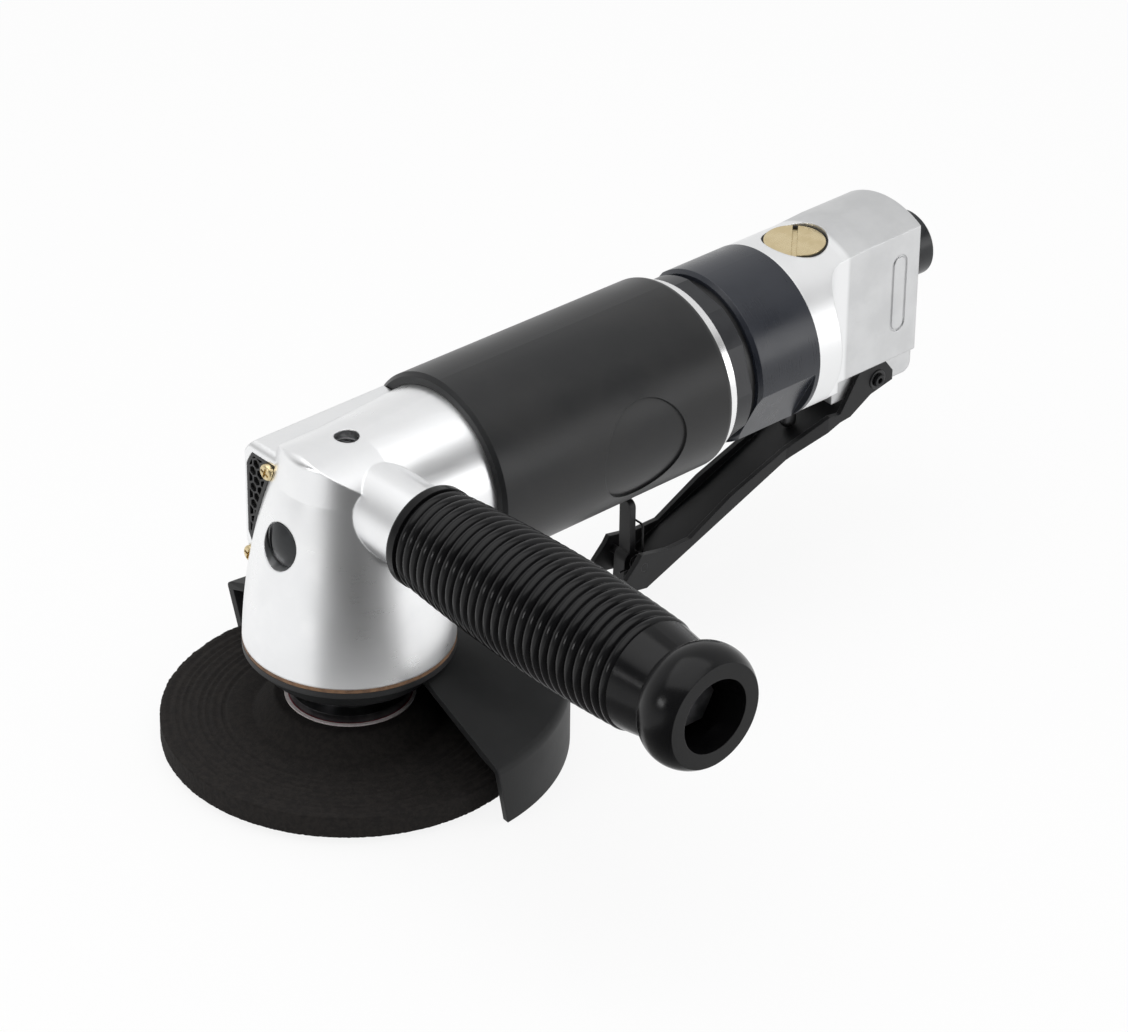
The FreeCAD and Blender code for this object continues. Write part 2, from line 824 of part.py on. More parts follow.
def exhaust_space(inset=0):
    """Air passage along the far side of the head, with its box behind the grille."""
    wall = gear_room_radius + gear_room_wall
    wall_top = gear_room_height + gear_room_wall
    crown = gear_crown_radius + gear_room_wall
    crown_top = gear_crown_height + gear_room_wall
    box_front = grille_thickness - duct_front
    space = along_x(box_front, front_plate_start, passage_outer, passage_inner)
    space = space.common(block(box_front, front_plate_start, duct_inner + inset, passage_far - inset,
                               motor_height - passage_down + inset, motor_height + passage_up - inset))
    box = block(box_front, box_front + plenum_depth, grille_inner + inset, passage_far - inset,
                motor_height - passage_down + inset, motor_height + upper_screw[1] + screw_post - inset)
    space = space.fuse(box).cut(along_z(0, wall_top + inset, wall + inset))
    space = space.cut(along_z(0, crown_top + inset, crown + inset))
    for y, rise in (upper_screw, lower_screw):
        height = motor_height + rise
        space = space.cut(along_x(-overrun, front_plate_start, screw_post + inset, 0, height, y))
    return space


def grille_plate(inset=0):
    plate = block(-duct_front, grille_thickness - duct_front, grille_inner + inset, grille_outer - inset,
                  motor_height - grille_down + inset, motor_height + grille_up - inset)
    plate = plate.common(along_x(-duct_front, grille_thickness - duct_front, grille_radius - inset))
    return plate.cut(bell(inset))


def angle_head():
    nose = along_x(-bell_rim_radius, nose_length, nose_radius)
    lower = block(-bell_rim_radius, bell_rim_radius, -bell_rim_radius, bell_rim_radius, 0, motor_height)
    nose = bell().common(nose.fuse(lower))
    points = [(0, 0), (0, nose_radius), (nose_length, nose_radius), (sleeve_front, head_rear_radius)]
    points += [(head_length, head_rear_radius), (head_length, plate_radius)]
    points += [(front_plate_start, plate_radius), (front_plate_start, 0)]
    barrel = turned_x(points)
    duct_bottom = motor_height - duct_down
    duct_top = motor_height + duct_up
    plan = [(duct_length, duct_root), (-duct_front, duct_root)]
    plan += corner((-duct_front, duct_root), (-duct_front, duct_side), (duct_length, duct_side), duct_round)
    plan.append((duct_length, duct_side))
    side = [(duct_length, duct_bottom), (-duct_front, duct_bottom)]
    side += corner((-duct_front, duct_bottom), (-duct_front, duct_top), (duct_length, duct_top), duct_round)
    side.append((duct_length, duct_top))
    duct = prism_z(plan, duct_bottom, duct_top).common(prism_y(side, duct_root, duct_side))
    duct = duct.common(along_x(-duct_front, duct_length, duct_radius))
    boss = turned_y([(-boss_root, 0), (-boss_root, boss_root_radius), (-boss_length, boss_tip_radius),
                     (-boss_length, 0)], 0, boss_height)
    head = fused([nose, barrel, duct, boss])
    rooms = [along_z(0, spigot_room_height, bell_bore)]
    rooms.append(along_z(0, gear_room_height, gear_room_radius))
    rooms.append(along_z(0, gear_crown_height, gear_crown_radius))
    rooms.append(along_z(0, spindle_room_roof, spindle_room_radius))
    rooms.append(along_z(0, bush_top, bush_outer + race_fit))
    rooms.append(along_x(pinion_room_start, front_plate_start, pinion_room_radius))
    rooms.append(along_x(bearing_room_start, front_plate_start, bearing_room_radius))
    shank_room = plug_shank_radius + seat_fit
    rooms.append(along_x(-bell_rim_radius, -spindle_room_radius / 2, shank_room, 0, plug_height))
    rooms.append(along_x(-bell_rim_radius, -plug_recess_x, plug_recess_radius, 0, plug_height))
    hole_floor = head_top - top_hole_depth
    rooms.append(along_z(hole_floor, head_top + overrun, top_hole_radius))
    rooms.append(along_y(-boss_length, handle_hole_depth - boss_length, handle_thread + race_fit, 0, 0,
                         boss_height))
    for y, rise in (upper_screw, lower_screw):
        height = motor_height + rise
        spot = grille_screw_head + seat_fit
        rooms.append(along_x(-duct_front - overrun, grille_thickness - duct_front, spot, 0, height, y))
        hole = grille_screw_core + race_fit
        rooms.append(along_x(-duct_front, grille_screw_length - duct_front, hole, 0, height, y))
    screw = along_z(0, cap_bottom + cap_screw_length, cap_screw_core + race_fit, 0, cap_screw_circle)
    rooms += ring_of(screw, origin, axis_z, cap_screw_count, cap_screw_angle)
    head = head.cut(group(rooms)).cut(exhaust_space()).cut(grille_plate())
    save("angle_head", head)


def grille_group():
    step = grille_cell * math.sqrt(3) + grille_web
    rise = step * math.sqrt(3) / 2
    plate = grille_plate(seat_fit)
    field = grille_plate(grille_edge)
    box = field.BoundBox
    rows = int((box.ZLength / 2) / rise) + 1
    columns = int(box.YLength / step) + 2
    screws = [V(0, y, motor_height + up) for y, up in (upper_screw, lower_screw)]
    holes = []
    for row in range(-rows, rows + 1):
        for column in range(columns):
            y = box.YMin + step * (column + (row % 2) / 2)
            z = (box.ZMin + box.ZMax) / 2 + rise * row
            spot = V(0, y, z)
            near_screw = min((spot - screw).Length for screw in screws) < grille_screw_head + grille_cell
            if not near_screw:
                hexagon = polygon(6, grille_cell, quarter_turn / 3, y, z)
                holes.append(prism_x(hexagon, -duct_front, grille_thickness - duct_front))
    core = grille_screw_core + seat_fit
    screw_holes = [along_x(-duct_front, 0, core, 0, spot.z, spot.y) for spot in screws]
    openings = group(holes).common(field)
    plate = plate.cut(openings).cut(group(screw_holes))
    save("exhaust_grille", max(plate.Solids, key=lambda solid: solid.Volume))
    made = []
    for spot in screws:
        head_front = -duct_front - grille_screw_height
        rim = (-duct_front, grille_screw_head)
        edge = (head_front, grille_screw_head)
        rounding = corner(rim, edge, (head_front, 0), grille_screw_height / 2)
        points = [(-duct_front, 0), rim] + rounding + [(head_front, 0)]
        screw = turned_x(points, spot.z)
        screw.translate(V(0, spot.y, 0))
        shank = along_x(-duct_front, grille_screw_length - duct_front - seat_fit, grille_screw_core, 0,
                        spot.z, spot.y)
        screw = screw.fuse(shank)
        centre = V(head_front, spot.y, spot.z)
        half = screw_slot_width / 2
        reach = grille_screw_head - screw_slot_width
        for turn in (0, quarter_turn):
            bar = block(head_front, head_front + screw_slot_depth, spot.y - half, spot.y + half,
                        spot.z - reach, spot.z + reach)
            screw = screw.cut(turned(bar, centre, axis_x, turn + screw_slot_angle))
        made.append(screw)
    save("grille_screws", group(made))
    pad_back = grille_thickness - duct_front + pad_thickness
    limit = block(grille_thickness - duct_front, pad_back, 0, duct_side, 0, head_top)
    pad = exhaust_space(pad_gap).common(limit)
    pad = max(pad.Solids, key=lambda solid: solid.Volume)
    save("silencer_pad", pad)


def front_plug():
    face = -plug_recess_x
    tip = face - plug_head_height - plug_dome
    half_chord = plug_head_radius / 2
    dome = (tip + plug_dome / 4, half_chord)
    shank_end = face + plug_shank_length
    points = [(shank_end, 0), (shank_end, plug_shank_radius), (face, plug_shank_radius)]
    points += [(face, plug_head_radius), (face - plug_head_height, plug_head_radius), (*dome, tip, 0)]
    plug = turned_x(points, plug_height)
    slot_start = plug_slot_offset - plug_slot_width / 2
    slot = block(tip - overrun, tip + plug_slot_depth, slot_start, slot_start + plug_slot_width,
                 plug_height - plug_head_radius, plug_height + plug_head_radius)
    save("front_plug", plug.cut(turned(slot, V(0, 0, plug_height), axis_x, plug_slot_tilt)))


def bearing_cap_group():
    seat = spindle_bearing_outer + race_fit
    ring_top = bearing_top + circlip_thickness
    groove_bottom = cap_boss_bottom + felt_lip_height
    groove_top = groove_bottom + felt_height
    points = [(felt_lip, cap_boss_bottom), (cap_boss_radius, cap_boss_bottom)]
    points += [(cap_boss_radius, cap_bottom), (cap_flange_radius, cap_bottom)]
    points.append((cap_flange_radius, gasket_bottom))
    points += [(bell_bore - seat_fit, gasket_bottom), (bell_bore - seat_fit, cap_spigot_top)]
    points += [(seat, cap_spigot_top), (seat, ring_top), (seat + circlip_grip, ring_top)]
    points += [(seat + circlip_grip, bearing_top), (seat, bearing_top), (seat, bearing_bottom)]
    relief = bearing_bottom - air_gap
    points += [(bearing_relief, bearing_bottom), (bearing_relief, relief), (felt_lip, relief)]
    points += [(felt_lip, groove_top), (cap_bore, groove_top)]
    points += [(cap_bore, groove_bottom), (felt_lip, groove_bottom)]
    head_end = cap_bottom + cap_screw_head - cap_screw_core
    screw_top = cap_bottom + cap_screw_length
    screw_points = [(0, cap_bottom), (cap_screw_head, cap_bottom), (cap_screw_core, head_end)]
    screw = turned_z(screw_points + [(cap_screw_core, screw_top), (0, screw_top)], cap_screw_circle)
    slot = block(cap_screw_circle - screw_slot_width / 2, cap_screw_circle + screw_slot_width / 2,
                 -cap_screw_head, cap_screw_head, cap_bottom, cap_bottom + screw_slot_depth)
    sunk = ring_of(screw.cut(slot), origin, axis_z, cap_screw_count, cap_screw_angle)
    room = along_z(cap_bottom, screw_top, cap_screw_core + race_fit, 0, cap_screw_circle).fuse(screw)
    holes = group(ring_of(room, origin, axis_z, cap_screw_count, cap_screw_angle))
    save("bearing_cap", turned_z(points).cut(holes))
    save("cap_screws", group(sunk))
    wide = along_z(gasket_bottom, bell_rim_height, cap_screw_core + seat_fit, 0, cap_screw_circle)
    gasket = along_z(gasket_bottom, bell_rim_height, bell_rim_radius + race_fit, bell_bore)
    wide_holes = group(ring_of(wide, origin, axis_z, cap_screw_count, cap_screw_angle))
    save("bell_gasket", gasket.cut(wide_holes))
    clip = along_z(bearing_top, ring_top, seat + circlip_grip, seat - circlip_width)
    opening = block(0, overrun, -circlip_width, circlip_width, bearing_top, ring_top)
    save("bearing_circlip", clip.cut(opening))
    save("spindle_seal", along_z(groove_bottom, groove_top, cap_bore, spindle_shoulder + seat_fit))
    bearing_place = V(0, 0, bearing_bottom)
    ball_bearing("spindle_bearing", bearing_place, axis_z, spindle_radius, spindle_bearing_outer,
                 spindle_bearing_width, 8)
    save("needle_bush", along_z(bush_bottom, bush_top, bush_outer, spindle_top_radius + running_fit))


def guard_group():
    collar_inner = cap_boss_radius + air_gap
    collar_bottom = cap_bottom - air_gap * 2 - guard_collar_height
    collar_top = cap_bottom - air_gap * 2
    inside = guard_radius - guard_plate
    crease = (guard_radius, guard_top)
    shoulder = (guard_collar_radius, collar_top)
    skirt_end = (guard_radius, guard_bottom)
    points = [(inside, guard_bottom), skirt_end] + corner(skirt_end, crease, shoulder, guard_round)
    points += [shoulder, (collar_inner, collar_top), (collar_inner, collar_bottom)]
    points += [(guard_collar_radius, collar_bottom), (guard_collar_radius, collar_top - guard_plate)]
    points.append((inside, guard_top - guard_plate))
    shell = turned_z(points)
    lean_run = (guard_top - guard_bottom) * math.tan(math.radians(guard_end_lean))
    floor = guard_bottom - overrun
    lean_floor = lean_run * (guard_top - floor) / (guard_top - guard_bottom)
    edge = [(guard_edge_x, guard_top), (guard_edge_x, collar_top), (-guard_radius - overrun, collar_top)]
    edge += [(-guard_radius - overrun, floor), (guard_edge_x + lean_floor, floor)]
    far = prism_y(edge, 0, guard_radius + overrun)
    far = turned(far, V(guard_edge_x, guard_radius, 0), axis_z, guard_edge_lean)
    near = far.mirror(origin, axis_y)
    far.translate(V(guard_far_shift, 0, 0))
    keep_radius = guard_collar_radius
    keep = along_z(floor, collar_top, keep_radius)
    front = block(-guard_radius - overrun, 0, -guard_radius, guard_radius, floor, collar_top)
    shell = shell.cut(far.fuse(near).fuse(front).cut(keep))
    ear_start = -guard_collar_radius - guard_ear_length
    ears = block(ear_start, -guard_collar_radius + guard_plate / 2, -guard_ear_width, guard_ear_width,
                 collar_bottom, collar_top)
    ears = ears.cut(along_z(collar_bottom, collar_top, collar_inner))
    split = block(ear_start, 0, -guard_split / 2, guard_split / 2, collar_bottom, collar_top)
    screw_x = ear_start + guard_ear_length / 2
    screw_z = (collar_bottom + collar_top) / 2
    hole = along_y(-guard_ear_width, guard_ear_width, guard_screw_radius + race_fit, 0, screw_x, screw_z)
    shell = shell.fuse(turned(ears, origin, axis_z, guard_ear_angle)).removeSplitter()
    save("guard", shell.cut(turned(split.fuse(hole), origin, axis_z, guard_ear_angle)))
    screw = along_y(-guard_ear_width, guard_ear_width, guard_screw_radius, 0, screw_x, screw_z)
    head_end = -guard_ear_width - guard_plate
    cap = along_y(head_end, -guard_ear_width, guard_screw_head, 0, screw_x, screw_z)
    socket = along_y(head_end, head_end + guard_plate / 2, guard_screw_radius, 0, screw_x, screw_z)
    screw = screw.fuse(cap).cut(socket)
    save("guard_clamp_screw", turned(screw, origin, axis_z, guard_ear_angle))


def motor_group():
    liner = along_x(liner_start, liner_end, liner_radius - race_fit)
    liner = liner.cut(along_x(liner_start, liner_end, liner_bore, 0, motor_height, liner_offset))
    slots = []
    for i in range(port_count):
        start = liner_start + port_margin + port_pitch * i
        slots.append(block(start, start + port_width, 0, liner_radius, motor_height - port_height / 2,
                           motor_height + port_height / 2))
    save("cylinder_liner", liner.cut(group(slots)))
    shaft_hole = rotor_shoulder + running_fit
    seat = front_bearing_outer + race_fit
    plate = along_x(front_plate_start, liner_start, plate_radius - race_fit)
    hub = along_x(front_bearing_start, front_plate_start, plate_hub_radius)
    hub = hub.cut(along_x(front_bearing_start, front_plate_start, seat))
    plate = fused([plate, hub]).cut(along_x(front_plate_start, liner_start, shaft_hole))
    race_inner = front_bearing_outer - (front_bearing_outer - rotor_front_radius) * race_wall_share
    relief = along_x(front_plate_start, front_plate_start + air_gap, race_inner - air_gap)
    save("front_end_plate", plate.cut(relief))
    plate = along_x(liner_end, rear_plate_end, plate_radius - race_fit)
    hub = along_x(rear_plate_end, rear_bearing_end, rear_hub_radius)
    hub = hub.cut(along_x(rear_plate_end, rear_bearing_end, rear_bearing_outer + race_fit))
    ports = []
    for angle in inlet_port_angles:
        y = inlet_port_circle * math.cos(math.radians(angle))
        rise = inlet_port_circle * math.sin(math.radians(angle))
        ports.append(along_x(liner_end, rear_plate_end, inlet_port_radius, 0, motor_height + rise, y))
    plate = fused([plate, hub]).cut(along_x(liner_end, rear_plate_end, shaft_hole))
    save("rear_end_plate", plate.cut(group(ports)))
    ball_bearing("front_bearing", V(front_bearing_start, 0, motor_height), axis_x, rotor_front_radius,
                 front_bearing_outer, front_bearing_width, 7)
    ball_bearing("rear_bearing", V(rear_plate_end, 0, motor_height), axis_x, rotor_rear_radius,
                 rear_bearing_outer, rear_bearing_width, 7)


def motor_housing():
    bore = housing_bore
    points = [(head_length, bore), (head_length, housing_radius), (sleeve_rear, housing_radius)]
    points += [(sleeve_rear, silver_ring_radius), (silver_ring_end, silver_ring_radius)]
    points += [(silver_ring_end, housing_tail_radius), (housing_tail_end, housing_tail_radius)]
    points += [(housing_tail_end, bore)]
    channel = along_x(head_length, housing_channel_end, housing_channel, 0)
    half = housing_channel_width / 2
    side = block(head_length, housing_channel_end, 0, housing_radius, motor_height - half,
                 motor_height + half)
    save("motor_housing", turned_x(points).cut(channel.common(side)))


def motor_sleeve():
    front_lip = sleeve_front + sleeve_lip
    rear_shoulder = (sleeve_rear, sleeve_rear_radius)
    front = (sleeve_front, sleeve_bore)
    front_shoulder = (front_lip, sleeve_front_radius)
    points = [front, (sleeve_front, sleeve_front_radius - sleeve_lip), front_shoulder]
    points += corner(front_shoulder, rear_shoulder, (sleeve_rear, sleeve_bore), sleeve_round)
    points += [(sleeve_rear, sleeve_bore)]
    sleeve = turned_x(points)
    floor = sleeve_rear_radius - badge_depth
    badge = along_y(-overrun - sleeve_front_radius, 0, badge_radius, 0, badge_x, motor_height)
    badge = badge.cut(along_x(sleeve_front, sleeve_rear, floor))
    save("motor_sleeve", sleeve.cut(turned(badge, motor_centre, axis_x, badge_angle)))


def ring_group():
    reach = lock_ring_flat / math.cos(math.pi / ring_flats)
    corners = polygon(ring_flats, reach, ring_flat_angle, 0, motor_height)
    flats = prism_x(corners, silver_ring_end, lock_ring_end)
    bore = housing_tail_radius + running_fit
    ring = along_x(silver_ring_end, lock_ring_end, lock_ring_radius).common(flats)
    save("lock_ring", ring.cut(along_x(silver_ring_end, lock_ring_end, bore)))
    save("rear_gasket", along_x(lock_ring_end, collar_front, rear_gasket_radius, bore))
    front_chamfer = collar_front + collar_chamfer
    points = [(collar_front, bore), (collar_front, collar_radius - collar_chamfer)]
    points += [(front_chamfer, collar_radius), (collar_rear, collar_radius), (collar_rear, bore)]
    collar = turned_x(points)
    flat = block(collar_front, collar_rear - collar_lip, collar_flat, collar_radius + overrun,
                 motor_height - collar_radius, motor_height + collar_radius)
    for turn in (collar_flat_angle, collar_flat_angle + quarter_turn * 2):
        collar = collar.cut(turned(flat, motor_centre, axis_x, turn))
    save("clamp_collar", collar)


def valve_housing():
    bore = valve_room_bore
    points = [(rear_plate_end, bore), (rear_plate_end, plate_radius - race_fit)]
    points += [(housing_tail_end, plate_radius - race_fit), (housing_tail_end, housing_tail_radius)]
    points += [(collar_rear, housing_tail_radius), (collar_rear, valve_body_radius)]
    points += [(block_start, valve_body_radius), (block_start, 0), (valve_room_end, 0)]
    points.append((valve_room_end, bore))
    front = turned_x(points)
    rear_top = (block_rear, block_radius)
    run_out_end = (block_start + block_run_out, block_radius)
    rear_points = [(block_start, 0), (block_start, valve_body_radius), run_out_end]
    rear_points += corner(run_out_end, rear_top, (block_rear, 0), block_round) + [(block_rear, 0)]
    rear = turned_x(rear_points)
    half = block_half
    slab = block(block_start, block_rear, -half, half, block_bottom, motor_height + block_radius)
    slab = slab.makeFillet(block_round, [e for e in slab.Edges if rear_side_edge(e)])
    rear = rear.common(slab)
    reach = block_run_out * math.cos(math.radians(quarter_turn / 2))
    far = valve_body_radius + block_round
    shoulder = block_start - block_run_out
    side = [(shoulder, far), (shoulder, half + block_run_out)]
    side.append((block_start - reach, half + block_run_out - reach, block_start, half))
    side += [(block_start + overrun, half), (block_start + overrun, far)]
    tall = motor_height + valve_body_radius + overrun
    cheek = prism_z(side, 0, tall)
    body = front.cut(cheek).cut(cheek.mirror(origin, axis_y))
    lug_low = (lug_rear, lug_bottom)
    lug = [(lug_front, block_bottom + block_round), (lug_front, lug_bottom)]
    lug += corner((lug_front, lug_bottom), lug_low, (lug_rear, block_bottom), lug_round)
    lug += [(lug_rear, block_bottom + block_round)]
    lug = prism_y(lug, -lug_half, lug_half)
    body = fused([body, rear, lug])
    inlet_start = block_rear - inlet_neck
    ledge = valve_plug_top - valve_plug_head
    rooms = [along_z(ledge, motor_height + overrun * 2, valve_seal_radius + seat_fit, 0, valve_x)]
    rooms.append(along_z(valve_room_bottom, ledge, valve_room_radius, 0, valve_x))
    rooms.append(along_z(lower_room_bottom, valve_room_bottom, lower_room_radius, 0, valve_x))
    rooms.append(along_z(0, lower_room_bottom, stem_guide, 0, valve_x))
    rooms.append(along_x(valve_x, block_rear, inlet_way, 0, inlet_z))
    rooms.append(along_x(inlet_start, block_rear, inlet_neck_radius + race_fit, 0, inlet_z))
    air_way_z = lower_room_bottom + air_way_radius + seat_fit
    rooms.append(along_x(valve_room_end - overrun, valve_x, air_way_radius, 0, air_way_z))
    rooms.append(along_y(-lug_half, lug_half, pin_radius + race_fit, 0, pivot_x, pivot_z))
    inner = frame_height / 2 - frame_width / 2
    groove = []
    for extra in (0, -frame_rim):
        radius = frame_width / 2 + extra
        piece = block(frame_x - radius, frame_x + radius, -half, frame_depth - half, frame_centre - inner,
                      frame_centre + inner)
        for z in (frame_centre - inner, frame_centre + inner):
            piece = piece.fuse(along_y(-half, frame_depth - half, radius, 0, frame_x, z))
        groove.append(piece)
    rooms.append(groove[0].cut(groove[1]))
    save("valve_housing", body.cut(group(rooms)))


def rear_side_edge(edge):
    box = edge.BoundBox
    upright = box.ZLength > block_half and box.XLength < block_round
    return upright and box.XMin > block_rear - block_round


def valve_group():
    ledge = valve_plug_top - valve_plug_head
    valve_seal_top = valve_plug_top - valve_seal_depth
    seal_floor = valve_seal_top - valve_seal_height
    core_bottom = ledge - valve_plug_core
    core_radius = valve_room_radius - running_fit
    points = [(0, core_bottom), (core_radius, core_bottom), (core_radius, ledge)]
    points += [(valve_seal_radius, ledge), (valve_seal_radius, seal_floor), (valve_plug_radius, seal_floor)]
    points += [(valve_plug_radius, valve_plug_top), (0, valve_plug_top)]
    plug = turned_z(points, valve_x)
    slot = screw_slot(V(valve_x, 0, valve_plug_top), valve_slot_width, valve_slot_depth,
                      valve_seal_radius * 2, axis_z, valve_slot_angle - quarter_turn)
    save("valve_plug", plug.cut(slot))
    seal_bore = valve_plug_radius + race_fit
    save("valve_plug_seal", along_z(seal_floor, valve_seal_top, valve_seal_radius, seal_bore, valve_x))
    seat_top = valve_room_bottom + seat_height
    save("valve_seat", along_z(valve_room_bottom, seat_top, core_radius, seat_hole, valve_x))
    head_bottom = seat_top + seat_fit
    head_top_z = head_bottom + stem_head_height
    nose = stem_bottom + stem_radius
    nose_side = stem_radius * math.cos(math.radians(quarter_turn / 2))
    points = [(0, stem_bottom), (nose_side, nose - nose_side, stem_radius, nose)]
    points += [(stem_radius, head_bottom), (stem_head_radius, head_bottom), (stem_head_radius, head_top_z)]
    pilot_top = head_top_z + stem_pilot_height
    points += [(stem_pilot_radius, head_top_z), (stem_pilot_radius, pilot_top), (0, pilot_top)]
    save("throttle_valve", turned_z(points, valve_x))
    low = head_top_z + spring_wire
    pitch = (core_bottom - seat_fit - spring_wire - low) / spring_turns
    edges, spots = coil_edges(V(valve_x, 0, low), axis_z, spring_radius, pitch, spring_turns)
    save("valve_spring", wire_tube(edges, spots[0][0], spots[0][1], spring_wire))
    print("valve_spring least gap to itself, mm:", round(pitch - spring_wire * 2, 2))
    inlet_end = block_rear - inlet_neck
    mouth = block_rear + inlet_length - inlet_chamfer / 2
    step = mouth - inlet_thread_length
    floor = step - screen_thickness - seat_fit
    points = [(inlet_end, inlet_way), (inlet_end, inlet_neck_radius), (block_rear, inlet_neck_radius)]
    points += [(block_rear, inlet_radius), (mouth - inlet_chamfer, inlet_radius)]
    points += [(mouth, inlet_radius - inlet_chamfer), (mouth, inlet_thread_radius)]
    points += [(step, inlet_thread_radius), (step, screen_radius + running_fit)]
    points += [(floor, screen_radius + running_fit), (floor, inlet_way)]
    save("inlet_bushing", turned_x(points, inlet_z))
    screen = along_x(floor, floor + screen_thickness, screen_radius, 0, inlet_z)
    reach = int(screen_radius / screen_pitch)
    holes = []
    for i in range(-reach, reach + 1):
        for j in range(-reach, reach + 1):
            if math.hypot(i, j) * screen_pitch < screen_radius - screen_hole * 2:
                holes.append(along_x(floor, floor + screen_thickness, screen_hole, 0,
                                     inlet_z + screen_pitch * j, screen_pitch * i))
    save("inlet_screen", screen.cut(group(holes)))


def lever_group():
    slope = math.atan2(web_bend[1] - web_front[1], web_bend[0] - web_front[0])
    rise = sheet / math.cos(slope)
    top = [(x, z + rise) for x, z in (web_end, web_bend, web_front)]
    band = prism_y([web_front, web_bend, web_end] + top, -ear_out, ear_out)
    plan = [(web_front[0], -channel_half), (jog_start, -channel_half), (jog_end, -ear_out)]
    plan += [(web_end[0], -ear_out), (web_end[0], ear_out), (jog_end, ear_out)]
    plan += [(jog_start, channel_half), (web_front[0], channel_half)]
    web = band.common(prism_z(plan, -pivot_z, 0))
    inner = channel_half - sheet
    ear_inner = ear_out - sheet
    flange = [web_front, web_bend, flange_bend_top, flange_mid, flange_mid_start, flange_mid_front]
    flange += [flange_front_top, flange_rise, flange_nose, flange_low]
    jog_floor = web_bend[1] - (web_bend[0] - jog_start) * math.tan(slope)
    jog_side = [(jog_start, jog_floor), web_bend, web_rear, ear_low_front, ear_front, ear_root, jog_top]
    jog_side.append(flange_bend_top)
    jog_plan = [(jog_start, channel_half), (jog_end, ear_out), (web_rear[0] + sheet, ear_out)]
    jog_plan += [(web_rear[0] + sheet, ear_inner), (jog_end + sheet / 4, ear_inner), (jog_start, inner)]
    ear = [ear_low_front, ear_low, ear_back_low, ear_back, ear_back_top, ear_top, ear_front_top]
    ear += [ear_front, ear_root, web_rear]
    pieces = [web]
    for side in (1, -1):
        pieces.append(prism_y(flange, inner * side, channel_half * side))
        bend = prism_z([(x, y * side) for x, y in jog_plan], -pivot_z, 0)
        pieces.append(bend.common(prism_y(jog_side, -ear_out, ear_out)))
        pieces.append(prism_y(ear, ear_inner * side, ear_out * side))
    lever = fused(pieces)
    lever.translate(V(pivot_x, 0, pivot_z))
    lever = lever.cut(along_y(-ear_out, ear_out, pin_radius + running_fit, 0, pivot_x, pivot_z))
    lever = lever.cut(along_y(-ear_out, ear_out, catch_pin_radius + race_fit, 0, catch_x, catch_z))
    save("lever", lever)
    pin_end = ear_out + pin_proud
    save("lever_pin", along_y(-pin_end, pin_end, pin_radius, pin_bore, pivot_x, pivot_z))
    save("catch_pin", along_y(-channel_half, channel_half, catch_pin_radius, 0, catch_x, catch_z))


def catch_group():
    side = catch_thickness / 2
    tip_x, tip_z = catch_foot_tip
    back_x, back_z = catch_foot_back
    hub = along_y(-catch_half, catch_half, catch_hub, 0, catch_x, catch_z)
    tongue = [(-catch_half, catch_z), (-catch_half, catch_top - catch_half)]
    tongue += [(0, catch_top, catch_half, catch_top - catch_half), (catch_half, catch_z)]
    tongue = prism_x(tongue, catch_x - side, catch_x + side)
    foot = [(-catch_hub, 0), (tip_x - side, tip_z + side), (tip_x, tip_z), (tip_x + side, tip_z)]
    foot += [(back_x, back_z), (back_x, -side), (0, 0)]
    foot = prism_y(foot, -catch_half, catch_half)
    foot.translate(V(catch_x, 0, catch_z))
    catch = fused([hub, tongue, foot])
    hole = along_y(-catch_half, catch_half, catch_pin_radius + running_fit, 0, catch_x, catch_z)
    save("lock_catch", catch.cut(hole))
    start = V(catch_x, -catch_half - catch_spring_wire - catch_spring_gap, catch_z)
    edges, spots = coil_edges(start, -axis_y, catch_spring_radius, catch_spring_pitch, catch_spring_turns)
    first, first_way = spots[0]
    last, last_way = spots[-1]
    tail_end = first - first_way * catch_spring_tail
    arm_start = last + (last_way + axis_z) * catch_spring_bend
    arm_end = arm_start + axis_z * catch_spring_arm
    bend_end = arm_end + (axis_z + axis_y) * catch_spring_bend
    edges = [Part.LineSegment(tail_end, first).toShape()] + edges
    edges += biarc(last, last_way, arm_start, axis_z)
    edges.append(Part.LineSegment(arm_start, arm_end).toShape())
    edges += biarc(arm_end, axis_z, bend_end, axis_y)
    edges.append(Part.LineSegment(bend_end, bend_end + axis_y * catch_half).toShape())
    save("catch_spring", wire_tube(edges, tail_end, first_way, catch_spring_wire))
    print("catch_spring least gap to itself, mm:", round(catch_spring_pitch - catch_spring_wire * 2, 2))


def rib_crest(share):
    """Radius of the ribs at a share of their run, on a curve through three radii."""
    half = 1 / 2
    first = rib_first_radius * (share - half) * (share - 1) * 2
    middle = rib_middle_radius * share * (1 - share) * 4
    return first + middle + rib_last_radius * share * (share - half) * 2


def side_handle():
    start = -boss_length
    flange_end = start - grip_flange_length
    end = -grip_end
    base = end + grip_base
    face = (start, bolt_hole)
    edge = (start, grip_flange_radius)
    shoulder = (flange_end, grip_flange_radius)
    points = [face] + corner(face, edge, shoulder, grip_flange_round) + [shoulder]
    pitch = (rib_last - rib_first) / (rib_count - 1)
    for i in range(rib_count):
        crest = rib_crest(i / (rib_count - 1))
        root = crest - rib_depth
        y = -rib_first - pitch * i
        points.append((y + pitch / 2, root))
        points.append((y, crest, y - pitch / 2, root))
    points.append((points[-1][-2], grip_smooth_radius))
    points.append((-grip_neck, grip_neck_radius))
    points.append((-grip_bulb_middle, grip_bulb_radius, end, grip_face_radius))
    points += [(end, grip_bore), (base, grip_bore), (base, bolt_hole)]
    save("handle_grip", turned_y(points, 0, boss_height))
    reach = bolt_head_radius / math.cos(math.pi / 6)
    head = prism_y(polygon(6, reach, 0, 0, boss_height), base - bolt_head_height, base)
    shank = along_y(base, base + bolt_length, handle_thread - race_fit, 0, 0, boss_height)
    save("handle_bolt", head.fuse(shank))


